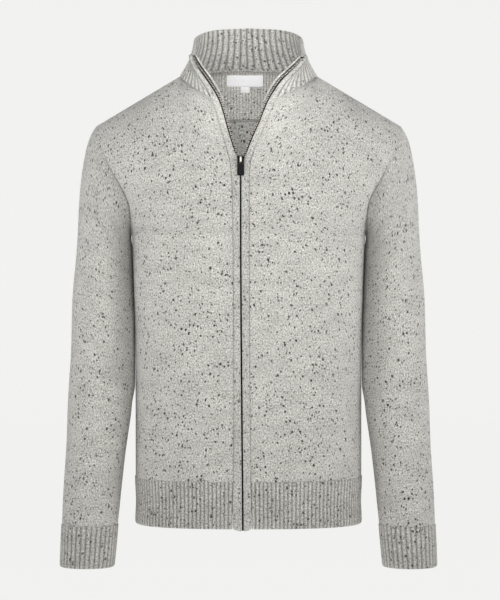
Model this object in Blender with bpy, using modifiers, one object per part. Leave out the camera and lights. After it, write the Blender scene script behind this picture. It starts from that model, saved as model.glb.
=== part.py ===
"""A long-sleeved zip-up knit cardigan, filled out as worn, with its zip open to the chest.

Metres, +X to the viewer's right, +Y to the back, +Z up. The origin lies in the middle of the
neck, level with the high points of the shoulders, where the wearer holds the garment up.
"""

import bisect
import math
from collections import namedtuple

import bmesh
import bpy
import numpy as np

# ---------------------------------------------------------------- driving dimensions

HEM_Z = -0.692
HEM_TOP_Z = -0.6203
UNDERARM_Z = -0.246
NECK_FRONT_Z = -0.040
NECK_BACK_Z = 0.019

NECK_HALF = 0.105
NECK_BACK_DEPTH = 0.088
SHOULDER_TIP_X = 0.2365
SHOULDER_TIP_Z = -0.0785
CHEST_DEPTH_FRONT = 0.128
CHEST_DEPTH_BACK = 0.124
ARMHOLE_DEPTH_FRONT = 0.062
ARMHOLE_DEPTH_BACK = 0.070

CLOTH = 0.003
RIB_HEIGHT = 0.0013
RIB_WALL = 0.0028
SEAM_GAP = 0.0003
HEM_RIB_PITCH = 0.0061
CUFF_RIB_PITCH = 0.0072
COLLAR_RIB_PITCH = 0.0095
COLLAR_GROOVE_WALL = 0.0028
COLLAR_RIDGE_WALL = 0.0050

BAND_CROWN = 0.0014
BAND_DIP = 0.003
BAND_SEAM_GAP = 0.00035
TAPE_WALL = 0.0010
TAPE_WIDTH = 0.0085
TEETH_WIDTH = 0.0014
TEETH_DEPTH = 0.0022
BAND_CLEAR_CLOSED = 0.0018
BAND_CLEAR_OPEN = 0.0042
ZIP_CLOSED_Z = -0.1405
ZIP_PARTED_Z = -0.1150

NECK_PANEL_ROWS = 4
NECK_PANEL_LIFT = 0.0005
NECK_PANEL_WALL = 0.0015
NECK_PANEL_MARGIN = 0.0006
TAG_LIFT = 0.0004
TAG_WALL = 0.0005
TAG_COLUMNS = 7

SLIDER_X = -0.0117
SLIDER_HALF = 0.0040
SLIDER_TOP_Z = -0.1300
SLIDER_BOTTOM_Z = -0.1415
SLIDER_FACE_Y = -0.1281
SLIDER_BACK_Y = -0.1188
PLATE_WALL = 0.0014
WEDGE_HEIGHT = 0.0026
PLATE_BEVEL = 0.0004
REAR_INSET = 0.0004
REAR_WALL = 0.0012
BRIDGE_HALF = 0.0020
BRIDGE_WALL = 0.0012
BRIDGE_HOLLOW = 0.0026
BRIDGE_BEVEL = 0.0003
METAL_STEP = 0.0002
CUT_OVER = 0.001
PULL_HALF = 0.0052
PULL_WALL = 0.0014
PULL_BEVEL = 0.0003
PULL_AXIS_Y = -0.1294
PULL_AXIS_Z = -0.1326
PULL_END_Z = -0.1600
WINDOW_HALF = 0.0026
WINDOW_DROP = 0.0010

SQUARENESS = 2.6
SHOULDER_ROUNDING = 2.2
EVENING_PASSES = 4

# How a sleeve leans on the body's side: how far it is pressed in, over what reach, the least
# gap left, and how it fades in below the underarm and out again above the forearm.
PRESS_DEPTH = 0.006
PRESS_REACH = 0.020
PRESS_GAP = 0.0007
PRESS_FADE = 0.030
PRESS_END_Z = -0.500

# How far down its length a sleeve's head keeps the armhole's curve.
SLEEVE_HEAD = 0.25

# The front neckline's fall from the high point, the collar's hollow between its seam and its
# rim, how much its ways out follow its foot, and the share of each half that turns to the band.
NECK_FALL = 1.25
COLLAR_HOLLOW = 0.0045
COLLAR_FOOT_SHARE = 0.3
COLLAR_TURN = 0.25

# ---------------------------------------------------------------- tables

# Half the body's width, from the hem up to the underarm.
WidthRow = namedtuple("WidthRow", "z half_width")
WIDTHS = (
    WidthRow(-0.692, 0.1745),
    WidthRow(-0.620, 0.1750),
    WidthRow(-0.500, 0.1752),
    WidthRow(-0.400, 0.1757),
    WidthRow(-0.330, 0.1772),
    WidthRow(-0.246, 0.1810),
)

# How far the centre lines lie in front of and behind the side seams. Above the underarm the
# first two follow the front edge as it leans back to the neck.
DepthRow = namedtuple("DepthRow", "z zip_depth seam_depth back_depth")
DEPTHS = (
    DepthRow(-0.7000, 0.1130, 0.1130, 0.103),
    DepthRow(-0.6200, 0.1170, 0.1170, 0.107),
    DepthRow(-0.5000, 0.1200, 0.1200, 0.106),
    DepthRow(-0.4000, 0.1220, 0.1220, 0.109),
    DepthRow(-0.3300, 0.1250, 0.1250, 0.116),
    DepthRow(-0.2620, 0.1280, 0.1280, 0.124),
    DepthRow(-0.2000, 0.1275, 0.1275, 0.124),
    DepthRow(-0.1310, 0.1240, 0.1240, 0.124),
    DepthRow(-0.1090, 0.1215, 0.1205, 0.124),
    DepthRow(-0.0887, 0.1175, 0.1160, 0.124),
    DepthRow(-0.0674, 0.1115, 0.1090, 0.124),
    DepthRow(-0.0436, 0.1045, 0.1005, 0.124),
    DepthRow(-0.0255, 0.0995, 0.0940, 0.124),
    DepthRow(-0.0081, 0.0940, 0.0870, 0.124),
    DepthRow(0.0077, 0.0885, 0.0790, 0.124),
    DepthRow(0.0252, 0.0820, 0.0700, 0.124),
)

# Each front edge: where the zip's teeth run, and the seam of the band beside them.
EdgeRow = namedtuple("EdgeRow", "z zip_x seam_x")
EDGE_LEFT = (
    EdgeRow(-0.7000, -0.0084, -0.0245),
    EdgeRow(-0.6203, -0.0090, -0.0235),
    EdgeRow(-0.5400, -0.0098, -0.0226),
    EdgeRow(-0.2000, -0.0118, -0.0240),
    EdgeRow(-0.1405, -0.0116, -0.0275),
    EdgeRow(-0.1310, -0.0160, -0.0298),
    EdgeRow(-0.1139, -0.0215, -0.0345),
    EdgeRow(-0.0887, -0.0291, -0.0425),
    EdgeRow(-0.0674, -0.0349, -0.0480),
    EdgeRow(-0.0436, -0.0427, -0.0560),
    EdgeRow(-0.0255, -0.0526, -0.0648),
    EdgeRow(-0.0081, -0.0642, -0.0757),
    EdgeRow(0.0077, -0.0758, -0.0857),
    EdgeRow(0.0252, -0.0850, -0.0913),
)
EDGE_RIGHT = (
    EdgeRow(-0.7000, -0.0084, 0.0045),
    EdgeRow(-0.6203, -0.0090, 0.0040),
    EdgeRow(-0.5400, -0.0098, 0.0030),
    EdgeRow(-0.2000, -0.0118, 0.0014),
    EdgeRow(-0.1405, -0.0116, 0.0022),
    EdgeRow(-0.1310, -0.0068, 0.0046),
    EdgeRow(-0.1177, -0.0024, 0.0105),
    EdgeRow(-0.0984, 0.0052, 0.0180),
    EdgeRow(-0.0770, 0.0149, 0.0280),
    EdgeRow(-0.0515, 0.0246, 0.0380),
    EdgeRow(-0.0300, 0.0361, 0.0490),
    EdgeRow(-0.0131, 0.0478, 0.0603),
    EdgeRow(0.0022, 0.0646, 0.0760),
    EdgeRow(0.0222, 0.0842, 0.0908),
)

# The armhole's line seen from the front, from the underarm up to the shoulder's tip.
ArmholeRow = namedtuple("ArmholeRow", "rise x")
ARMHOLE = (
    ArmholeRow(0.00, 0.1810),
    ArmholeRow(0.18, 0.1815),
    ArmholeRow(0.30, 0.1845),
    ArmholeRow(0.53, 0.2053),
    ArmholeRow(0.81, 0.2262),
    ArmholeRow(0.91, 0.2325),
    ArmholeRow(1.00, 0.2365),
)

# The sleeve's rings, from the armhole to the cuff seam.
SleeveRow = namedtuple("SleeveRow", "along inner_x inner_z outer_x outer_z mid_y front back")
SLEEVE = (
    SleeveRow(0.00, 0.1810, -0.2460, 0.2365, -0.0785, 0.000, 0.062, 0.070),
    SleeveRow(0.03, 0.1824, -0.2500, 0.2448, -0.0910, 0.000, 0.063, 0.071),
    SleeveRow(0.06, 0.1832, -0.2550, 0.2500, -0.1060, 0.000, 0.064, 0.071),
    SleeveRow(0.10, 0.1838, -0.2610, 0.2545, -0.1250, 0.000, 0.065, 0.071),
    SleeveRow(0.14, 0.1840, -0.2690, 0.2582, -0.1480, 0.000, 0.066, 0.071),
    SleeveRow(0.19, 0.1838, -0.2790, 0.2614, -0.1780, 0.000, 0.067, 0.070),
    SleeveRow(0.25, 0.1828, -0.2950, 0.2645, -0.2150, -0.001, 0.067, 0.069),
    SleeveRow(0.33, 0.1810, -0.3230, 0.2678, -0.2640, -0.002, 0.066, 0.066),
    SleeveRow(0.42, 0.1794, -0.3650, 0.2705, -0.3200, -0.004, 0.064, 0.063),
    SleeveRow(0.51, 0.1786, -0.4090, 0.2730, -0.3800, -0.007, 0.061, 0.059),
    SleeveRow(0.61, 0.1786, -0.4580, 0.2760, -0.4400, -0.011, 0.058, 0.055),
    SleeveRow(0.71, 0.1800, -0.5080, 0.2786, -0.5000, -0.016, 0.055, 0.051),
    SleeveRow(0.80, 0.1858, -0.5560, 0.2812, -0.5540, -0.021, 0.052, 0.047),
    SleeveRow(0.90, 0.1937, -0.6250, 0.2848, -0.6240, -0.027, 0.047, 0.043),
    SleeveRow(1.00, 0.2008, -0.6925, 0.2873, -0.6925, -0.032, 0.043, 0.039),
)
CUFF_END = SleeveRow(1.00, 0.2068, -0.7570, 0.2895, -0.7570, -0.034, 0.040, 0.036)

# The collar's rim, from the middle of the back round to the front end.
RimRow = namedtuple("RimRow", "around x y z")
RIM = (
    RimRow(0.00, 0.0000, 0.080, 0.0820),
    RimRow(0.24, 0.0490, 0.070, 0.0785),
    RimRow(0.42, 0.0750, 0.046, 0.0700),
    RimRow(0.58, 0.0832, 0.014, 0.0590),
    RimRow(0.72, 0.0838, -0.014, 0.0470),
    RimRow(0.86, 0.0848, -0.042, 0.0350),
    RimRow(1.00, 0.0913, -0.070, 0.0252),
)
RIM_END_Z = {-1: 0.0252, 1: 0.0222}

# The woven tags inside the neck.
TagPlace = namedtuple("TagPlace", "middle_x width top_z height")
NECK_LABEL = TagPlace(-0.0057, 0.0570, 0.0084, 0.0175)
SIZE_TAB = TagPlace(-0.0052, 0.0138, -0.0094, 0.0088)

# ---------------------------------------------------------------- mesh fineness

LOWER_ROWS = 9
ARMHOLE_STEPS = 8
FRONT_NECK_STEPS = 4
BACK_NECK_STEPS = 6
SHOULDER_STEPS = 5
SLEEVE_STEPS = 22
CUFF_STEPS = 2
COLLAR_STEPS = 6
PANEL_COLUMNS = FRONT_NECK_STEPS + SHOULDER_STEPS
ARC_SAMPLES = 600

# ---------------------------------------------------------------- helpers


def read(table, column, at):
    """Reads a column between a table's rows, on a smooth curve that never overshoots them."""
    keys = [row[0] for row in table]
    values = [getattr(row, column) for row in table]
    at = min(max(at, keys[0]), keys[-1])
    k = max(0, min(bisect.bisect_right(keys, at) - 1, len(keys) - 2))
    steps = [(values[i + 1] - values[i]) / (keys[i + 1] - keys[i]) for i in range(len(keys) - 1)]

    def slope(i):
        if i in (0, len(keys) - 1):
            return steps[min(i, len(steps) - 1)]
        before, after = steps[i - 1], steps[i]
        return 0.0 if before * after <= 0 else 2 * before * after / (before + after)

    span = keys[k + 1] - keys[k]
    t = (at - keys[k]) / span
    start = values[k] * (1 + 2 * t) * (1 - t) ** 2 + values[k + 1] * t * t * (3 - 2 * t)
    return start + span * (slope(k) * t * (1 - t) ** 2 - slope(k + 1) * t * t * (1 - t))


def lerp(a, b, t):
    return a + (b - a) * t


def smooth_step(t):
    t = min(max(t, 0.0), 1.0)
    return t * t * (3 - 2 * t)


def unit(vectors):
    lengths = np.linalg.norm(vectors, axis=-1, keepdims=True)
    return vectors / np.maximum(lengths, 1e-12)


def normals(grid, closed=False):
    """The surface normals of a grid of points, which point to the right of rows x columns."""
    if closed:
        wrapped = np.concatenate([grid[:, -1:], grid, grid[:, :1]], axis=1)
        across = np.gradient(wrapped, axis=1)[:, 1:-1]
    else:
        across = np.gradient(grid, axis=1)
    along = np.gradient(grid, axis=0)
    return unit(np.cross(across, along))


def even_arc(points, count, closed=False):
    """Resamples a fine line of points at equal steps along its length."""
    if closed:
        points = np.vstack([points, points[:1]])
    lengths = np.concatenate([[0], np.cumsum(np.linalg.norm(np.diff(points, axis=0), axis=1))])
    wanted = np.linspace(0, lengths[-1], count + 1)
    even = np.stack([np.interp(wanted, lengths, points[:, k]) for k in range(3)], axis=1)
    return even[:-1] if closed else even


def trim(grid, edges, gap=SEAM_GAP / 2):
    """Draws a panel's named edges back into it, which leaves the seams their gap."""
    trimmed = grid.copy()
    for edge in edges:
        here, inward = {
            "bottom": (np.s_[0, :], np.s_[1, :]),
            "top": (np.s_[-1, :], np.s_[-2, :]),
            "start": (np.s_[:, 0], np.s_[:, 1]),
            "end": (np.s_[:, -1], np.s_[:, -2]),
        }[edge]
        trimmed[here] = trimmed[here] + unit(trimmed[inward] - trimmed[here]) * gap
    return trimmed


# ---------------------------------------------------------------- scene and materials


def clear_scene():
    for item in list(bpy.data.objects):
        bpy.data.objects.remove(item, do_unlink=True)


def material(name, colour, roughness, metallic=0.0):
    made = bpy.data.materials.new(name)
    made.use_nodes = True
    shader = made.node_tree.nodes["Principled BSDF"]
    shader.inputs["Base Color"].default_value = (*colour, 1.0)
    shader.inputs["Roughness"].default_value = roughness
    shader.inputs["Metallic"].default_value = metallic
    return made


def link(name, bm, finish, collection):
    mesh = bpy.data.meshes.new(name)
    bm.to_mesh(mesh)
    bm.free()
    mesh.shade_smooth()
    mesh.set_sharp_from_angle(angle=math.radians(50))
    mesh.materials.append(finish)
    made = bpy.data.objects.new(name, mesh)
    collection.objects.link(made)
    return made


def wall(name, outer, inner, finish, collection, closed=False):
    """A wall of cloth between two grids of points: a grid is laid on the outer points, and its
    extruded copy on the inner ones. A closed wall is welded along its first column."""
    rows, columns = outer.shape[0], outer.shape[1] + (1 if closed else 0)
    bm = bmesh.new()
    bmesh.ops.create_grid(bm, x_segments=columns - 1, y_segments=rows - 1, size=0.5)
    row_of = bm.verts.layers.int.new("row")
    column_of = bm.verts.layers.int.new("column")
    for vert in bm.verts:
        vert[row_of] = round((vert.co.y + 0.5) * (rows - 1))
        vert[column_of] = round((vert.co.x + 0.5) * (columns - 1)) % outer.shape[1]
        vert.co = outer[vert[row_of], vert[column_of]]
    if closed:
        bmesh.ops.remove_doubles(bm, verts=bm.verts, dist=1e-7)
    extruded = bmesh.ops.extrude_face_region(bm, geom=bm.faces[:], use_keep_orig=True)
    for vert in extruded["geom"]:
        if isinstance(vert, bmesh.types.BMVert):
            vert.co = inner[vert[row_of], vert[column_of]]
    bmesh.ops.recalc_face_normals(bm, faces=bm.faces)
    return link(name, bm, finish, collection)


# ---------------------------------------------------------------- the body's form


def superellipse_x(half, turn):
    return half * abs(math.sin(turn)) ** (2 / SQUARENESS)


def superellipse_depth(share):
    return max(0.0, 1 - min(1.0, abs(share)) ** SQUARENESS) ** (1 / SQUARENESS)


def turn_at(share):
    """The angle of a superellipse's point from its share of the half width."""
    return math.asin(min(1.0, abs(share)) ** (SQUARENESS / 2))


def edge_table(side):
    return EDGE_LEFT if side < 0 else EDGE_RIGHT


def armhole_point(step, depth):
    """One point of the right armhole; step runs from the underarm to the shoulder's tip."""
    angle = math.pi * step / ARMHOLE_STEPS
    rise = (1 - math.cos(angle)) / 2
    z = lerp(UNDERARM_Z, SHOULDER_TIP_Z, rise)
    return np.array((read(ARMHOLE, "x", rise), depth * math.sin(angle), z))


def shoulder_line():
    """The shoulder seam, from the high point at the neck to the tip."""
    high = np.array((NECK_HALF, 0.0, 0.0))
    tip = np.array((SHOULDER_TIP_X, 0.0, SHOULDER_TIP_Z))
    return [lerp(high, tip, k / SHOULDER_STEPS) for k in range(1, SHOULDER_STEPS + 1)]


def front_neck_end(side):
    """Where the collar's seam meets the band, as positive x, y and z."""
    x = side * read(edge_table(side), "seam_x", NECK_FRONT_Z)
    return x, -read(DEPTHS, "seam_depth", NECK_FRONT_Z), NECK_FRONT_Z


def front_neck_line(side):
    """The front half of the neckline, from the band to the high point, on the right side."""
    end_x, end_y, end_z = front_neck_end(side)
    end_turn = math.acos(end_x / NECK_HALF)
    depth = -end_y / math.sin(end_turn)
    line = []
    for k in range(FRONT_NECK_STEPS + 1):
        turn = end_turn * (1 - k / FRONT_NECK_STEPS)
        fall = (turn / end_turn) ** NECK_FALL
        line.append(np.array((NECK_HALF * math.cos(turn), -depth * math.sin(turn), end_z * fall)))
    return line


def back_neck_line():
    """The back half of the neckline, from the middle of the back to the high point."""
    line = []
    for k in range(BACK_NECK_STEPS + 1):
        turn = math.pi / 2 * k / BACK_NECK_STEPS
        x = NECK_HALF * math.sin(turn)
        line.append(np.array((x, NECK_BACK_DEPTH * math.cos(turn), NECK_BACK_Z * math.cos(turn))))
    return line


def row_heights():
    return [lerp(HEM_TOP_Z, UNDERARM_Z, k / LOWER_ROWS) for k in range(LOWER_ROWS + 1)]


def lower_row(z, start_x, depth, columns):
    """A level row of one quarter of the body, from start_x round to the side seam."""
    half = read(WIDTHS, "half_width", z)
    first = turn_at(start_x / half)
    row = []
    for j in range(columns + 1):
        x = superellipse_x(half, lerp(first, math.pi / 2, j / columns))
        row.append((x, depth * superellipse_depth(x / half), z))
    return row


def relaxed(depths):
    """Evens out a line's bends, which a row below the line no longer shows."""
    for _ in range(EVENING_PASSES):
        middle = [(a + 2 * b + c) / 4 for a, b, c in zip(depths, depths[1:], depths[2:])]
        depths = [depths[0], *middle, depths[-1]]
    return depths


def upper_row(step, top, depths, start, chest, armhole_depth):
    """A row above the underarm: its columns climb to the top line and its depths, and its ends
    are held to the front edge and to the armhole."""
    columns = len(top) - 1
    rise = (1 - math.cos(math.pi * step / ARMHOLE_STEPS)) / 2
    fullness = (1 - rise ** SHOULDER_ROUNDING) ** (1 / SHOULDER_ROUNDING)
    end = armhole_point(step, armhole_depth)
    half = end[0] / superellipse_depth(end[1] / chest)
    first, last = turn_at(start[0] / half), turn_at(end[0] / half)
    span = top[-1][0] - top[0][0]
    row = []
    for j in range(columns + 1):
        even_x = superellipse_x(half, lerp(first, last, j / columns))
        top_x = start[0] + (end[0] - start[0]) * (top[j][0] - top[0][0]) / span
        x = lerp(even_x, top_x, rise)
        y = lerp(depths[j], chest * superellipse_depth(x / half), fullness)
        z = lerp(UNDERARM_Z, top[j][2], rise)
        row.append([x, y, z])
    pull_start = start - np.array(row[0])
    pull_end = end - np.array(row[-1])
    for j in range(columns + 1):
        share = j / columns
        row[j] = np.array(row[j]) + pull_start * (1 - share) ** 3 + pull_end * share ** 3
    return row


def front_grid(side):
    """The right front's outer points for side 1. The left front's are mirrored by the caller."""
    edge = edge_table(side)
    rows = []
    for z in row_heights():
        seam_x = side * read(edge, "seam_x", z)
        half = read(WIDTHS, "half_width", z)
        depth = read(DEPTHS, "seam_depth", z) / superellipse_depth(seam_x / half)
        rows.append(lower_row(z, seam_x, -depth, PANEL_COLUMNS))
    top = front_neck_line(side) + shoulder_line()
    depths = [point[1] for point in top]
    for step in range(1, ARMHOLE_STEPS + 1):
        lies = depths if step == ARMHOLE_STEPS else relaxed(depths)
        rise = (1 - math.cos(math.pi * step / ARMHOLE_STEPS)) / 2
        z = lerp(UNDERARM_Z, top[0][2], rise)
        start = np.array((side * read(edge, "seam_x", z), -read(DEPTHS, "seam_depth", z), z))
        rows.append(upper_row(step, top, lies, start, -CHEST_DEPTH_FRONT, -ARMHOLE_DEPTH_FRONT))
    return np.array(rows, float)


def back_grid():
    """The right half of the back's outer points."""
    columns = BACK_NECK_STEPS + SHOULDER_STEPS
    rows = [lower_row(z, 0.0, read(DEPTHS, "back_depth", z), columns) for z in row_heights()]
    top = back_neck_line() + shoulder_line()
    depths = [point[1] for point in top]
    across = depths[:0:-1] + depths
    for step in range(1, ARMHOLE_STEPS + 1):
        lies = depths if step == ARMHOLE_STEPS else relaxed(across)[columns:]
        rise = (1 - math.cos(math.pi * step / ARMHOLE_STEPS)) / 2
        z = lerp(UNDERARM_Z, top[0][2], rise)
        fullness = (1 - rise ** SHOULDER_ROUNDING) ** (1 / SHOULDER_ROUNDING)
        start = np.array((0.0, lerp(lies[0], CHEST_DEPTH_BACK, fullness), z))
        rows.append(upper_row(step, top, lies, start, CHEST_DEPTH_BACK, ARMHOLE_DEPTH_BACK))
    return np.array(rows, float)


def mirrored(grid):
    return grid * np.array((-1.0, 1.0, 1.0))


def full_width(half):
    """Both halves of the back in one grid, from its left side to its right."""
    return np.concatenate([mirrored(half)[:, :0:-1], half], axis=1)


# ---------------------------------------------------------------- sleeves and cuffs


def sleeve_ring(row, inset=0.0, armhole_share=0.0, samples=2 * ARMHOLE_STEPS):
    """A ring of the right sleeve, from the underarm up its front, over the top and down."""
    inner = np.array((row.inner_x + inset, row.inner_z))
    outer = np.array((row.outer_x - inset, row.outer_z))
    ring = []
    for k in range(samples):
        angle = 2 * math.pi * k / samples
        rise = (1 - math.cos(angle)) / 2
        depth = row.front if angle <= math.pi else row.back
        x, z = lerp(inner, outer, rise)
        straight = lerp(ARMHOLE[0].x, ARMHOLE[-1].x, rise)
        x += (read(ARMHOLE, "x", rise) - straight) * armhole_share
        ring.append((x, row.mid_y - (depth - inset) * math.sin(angle), z))
    return np.array(ring)


def body_side_x(y, z):
    """How far the body's side reaches at a depth and height, below the underarm."""
    depth = read(DEPTHS, "seam_depth" if y < 0 else "back_depth", z)
    return read(WIDTHS, "half_width", z) * superellipse_depth(y / depth)


def leaning(ring):
    """Presses the inner side of a sleeve's ring towards the body's side, which it leans on."""
    pressed = ring.copy()
    for point in pressed:
        side = body_side_x(point[1], point[2])
        gap = point[0] - side
        near = 1 - smooth_step(gap / PRESS_REACH)
        near *= smooth_step((UNDERARM_Z - point[2]) / PRESS_FADE)
        near *= smooth_step((point[2] - PRESS_END_Z) / PRESS_FADE)
        room = gap - PRESS_DEPTH * near
        least = PRESS_GAP * near
        point[0] = side + least + (room + math.sqrt(room**2 + 4 * least**2)) / 2
    return pressed


def sleeve_grid():
    rings = []
    for k in range(SLEEVE_STEPS + 1):
        along = k / SLEEVE_STEPS
        row = SleeveRow(along, *(read(SLEEVE, name, along) for name in SleeveRow._fields[1:]))
        ring = sleeve_ring(row, armhole_share=max(0.0, 1 - along / SLEEVE_HEAD) ** 2)
        rings.append(leaning(ring) if 0 < k < SLEEVE_STEPS else ring)
    return np.array(rings)


def cuff_walls():
    """The right cuff's plain inside and its outer points, raised on every other column."""
    seam = SLEEVE[-1]
    fine = [sleeve_ring(row, inset=RIB_WALL, samples=ARC_SAMPLES) for row in (seam, CUFF_END)]
    girth = np.linalg.norm(np.diff(np.vstack([fine[0], fine[0][:1]]), axis=0), axis=1).sum()
    ribs = round(girth / CUFF_RIB_PITCH)
    ends = [even_arc(ring, 2 * ribs, closed=True) for ring in fine]
    inner = np.array([lerp(ends[0], ends[1], k / CUFF_STEPS) for k in range(CUFF_STEPS + 1)])
    inner[0, :, 2] -= SEAM_GAP / 2
    outward = normals(inner, closed=True)
    outward[:, :, 2] = 0.0
    outward = unit(outward)
    centre = inner.mean(axis=1, keepdims=True)
    outward *= np.sign(np.sum(outward * (inner - centre), axis=2, keepdims=True))
    height = RIB_WALL + RIB_HEIGHT * (np.arange(2 * ribs) % 2)
    return inner, inner + outward * height[None, :, None]


# ---------------------------------------------------------------- rib hem


def hem_line(z, start_x, depth, inset):
    """A fine line round one quarter of the hem, moved inwards by the rib's wall."""
    half = read(WIDTHS, "half_width", z) - inset
    reach = math.copysign(abs(depth) - inset, depth)
    first = turn_at(start_x / half)
    turns = np.linspace(math.copysign(first, start_x), math.pi / 2, ARC_SAMPLES)
    line = []
    for turn in turns:
        x = math.copysign(superellipse_x(half, turn), turn)
        line.append((x, reach * superellipse_depth(x / half), z))
    return np.array(line)


def hem_inside(start_x, depth_name, sign, whole=False):
    """A rib hem's plain inside and its outward directions, for one front or the whole back."""
    lines = []
    for z, x in zip((HEM_Z, HEM_TOP_Z), start_x):
        depth = sign * read(DEPTHS, depth_name, z)
        lines.append(hem_line(z, x, depth, RIB_WALL))
    if whole:
        lines = [np.vstack([mirrored(line)[:0:-1], line]) for line in lines]
    length = np.linalg.norm(np.diff(lines[1], axis=0), axis=1).sum()
    ribs = round(length / HEM_RIB_PITCH)
    inner = np.array([even_arc(line, 2 * ribs) for line in lines])
    inner[-1, :, 2] -= SEAM_GAP / 2
    outward = normals(inner)
    outward[:, :, 2] = 0.0
    outward = unit(outward)
    return inner, outward * np.sign(np.sum(outward * inner * (1, 1, 0), axis=2, keepdims=True))


def hem_walls(inner, outward):
    """The rib hem's outer points, raised on every other column, and its inner ones."""
    inner = trim(inner, ("start", "end"))
    height = RIB_WALL + RIB_HEIGHT * (np.arange(inner.shape[1]) % 2)
    return inner + outward * height[None, :, None], inner


# ---------------------------------------------------------------- collar


def neck_loop():
    """The whole neckline as a line of corners, from the left front end round the back."""
    back = np.array(back_neck_line())
    left_back = mirrored(back)[::-1]
    left_front = mirrored(np.array(front_neck_line(-1)))
    right_front = np.array(front_neck_line(1))[::-1]
    return np.vstack([left_front[:-1], left_back[:-1], back[:-1], right_front])


def rim_point(around):
    """A point of the rim; around runs from -1 at the left front end to 1 at the right."""
    side = 1 if around >= 0 else -1
    share = abs(around)
    point = np.array([read(RIM, name, share) for name in ("x", "y", "z")])
    end_z = RIM_END_Z[side]
    end = np.array(
        (side * read(edge_table(side), "seam_x", end_z), -read(DEPTHS, "seam_depth", end_z), end_z)
    )
    last = RIM[-1]
    settle = max(0.0, (share - RIM[-2].around) / (1 - RIM[-2].around)) ** 2
    point += (end - np.array((last.x, last.y, last.z))) * settle
    return point * (side, 1, 1)


def collar_middle():
    """The collar's middle surface, with two columns to each rib."""
    fine_rim = np.array([rim_point(around) for around in np.linspace(-1, 1, ARC_SAMPLES)])
    length = np.linalg.norm(np.diff(fine_rim, axis=0), axis=1).sum()
    ribs = round(length / COLLAR_RIB_PITCH)
    rim = even_arc(fine_rim, 2 * ribs)
    base = even_arc(neck_loop(), 2 * ribs)
    spacing = np.linspace(-1, 1, 2 * ribs + 1)
    level = np.array((1, 1, 0))
    outward = unit((base - rim + base * COLLAR_FOOT_SHARE) * level)
    rows = []
    for k in range(COLLAR_STEPS + 1):
        rise = k / COLLAR_STEPS
        hollow = COLLAR_HOLLOW * math.sin(math.pi * rise)
        rows.append(lerp(base, rim, rise) - outward * hollow)
    grid = np.array(rows)
    for side, column in ((-1, 0), (1, -1)):
        for k in range(COLLAR_STEPS + 1):
            z = lerp(NECK_FRONT_Z, RIM_END_Z[side], k / COLLAR_STEPS)
            seam_x = read(edge_table(side), "seam_x", z)
            on_band = np.array((seam_x, -read(DEPTHS, "seam_depth", z), z))
            pull = on_band - grid[k, column]
            weight = np.clip(1 - (1 - np.abs(spacing)) / COLLAR_TURN, 0, 1) ** 2
            weight = np.where(np.sign(spacing) == side, weight, 0.0)
            grid[k] += pull[None, :] * weight[:, None]
    return grid


def collar_ways(middle):
    """The collar's outward directions, level along the seam at its foot."""
    outward = normals(middle)
    outward *= np.sign(np.sum(outward[1] * middle[1] * (1, 1, 0)))
    outward[0, :, 2] = 0.0
    return unit(outward)


def collar_walls(middle, outward):
    """The collar's outer and inner points, with a ridge on both faces on every other column."""
    middle = trim(middle, ("start", "end"))
    middle[0, :, 2] += SEAM_GAP
    ridge = np.arange(middle.shape[1]) % 2
    half = lerp(COLLAR_GROOVE_WALL, COLLAR_RIDGE_WALL, ridge)[None, :, None] / 2
    shift = COLLAR_GROOVE_WALL / 2
    return middle + outward * (half - shift), middle - outward * (half + shift)


# ---------------------------------------------------------------- bands and zip


def rung_heights(side):
    """The heights at which the band meets its neighbours' corners."""
    upper = []
    for step in range(1, ARMHOLE_STEPS + 1):
        rise = (1 - math.cos(math.pi * step / ARMHOLE_STEPS)) / 2
        upper.append(lerp(UNDERARM_Z, NECK_FRONT_Z, rise))
    collar = [lerp(NECK_FRONT_Z, RIM_END_Z[side], k / COLLAR_STEPS) for k in range(1, COLLAR_STEPS + 1)]
    return [HEM_Z] + row_heights() + upper + collar


def edge_rungs(side, heights):
    """At each height: the point on the teeth's line, the way across to the band's seam, the
    outward normal and the distance across."""
    edge = edge_table(side)
    teeth, seam = [], []
    for z in heights:
        teeth.append((read(edge, "zip_x", z) + side * SEAM_GAP / 2, -read(DEPTHS, "zip_depth", z), z))
        seam.append((read(edge, "seam_x", z), -read(DEPTHS, "seam_depth", z), z))
    teeth, seam = np.array(teeth), np.array(seam)
    across = unit(seam - teeth)
    along = unit(np.gradient(teeth, axis=0))
    outward = unit(np.cross(across, along) * side)
    return teeth, across, outward, np.linalg.norm(seam - teeth, axis=1)


def band_clear(z):
    """How far the band's inner edge stays back from the teeth's line."""
    share = (z - ZIP_CLOSED_Z) / (ZIP_PARTED_Z - ZIP_CLOSED_Z)
    return lerp(BAND_CLEAR_CLOSED, BAND_CLEAR_OPEN, smooth_step(share))


# Where the band's columns lie across it, and how high they crown.
CrownRow = namedtuple("CrownRow", "across crown")
BAND_COLUMNS = (CrownRow(0.0, 0.55), CrownRow(0.12, 0.9), CrownRow(0.6, 1.0), CrownRow(1.0, 0.35))


def band_walls(side, seam_ways):
    """The band's outer and inner points; seam_ways are its outward directions at its seam."""
    heights = rung_heights(side)
    teeth, across, outward, width = edge_rungs(side, heights)
    outer, inner = [], []
    for k, z in enumerate(heights):
        clear = band_clear(z)
        row_out, row_in = [], []
        for place in BAND_COLUMNS:
            reach = lerp(clear, width[k] - BAND_SEAM_GAP, place.across)
            point = teeth[k] + across[k] * reach
            way = seam_ways[k] if place.across == 1.0 else outward[k]
            row_out.append(point + way * BAND_CROWN * place.crown)
            row_in.append(point - way * CLOTH)
        outer.append(row_out)
        inner.append(row_in)
    outer, inner = np.array(outer), np.array(inner)
    for grid in (outer, inner):
        grid[0, :-1, 2] -= BAND_DIP
    return outer, inner


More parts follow.
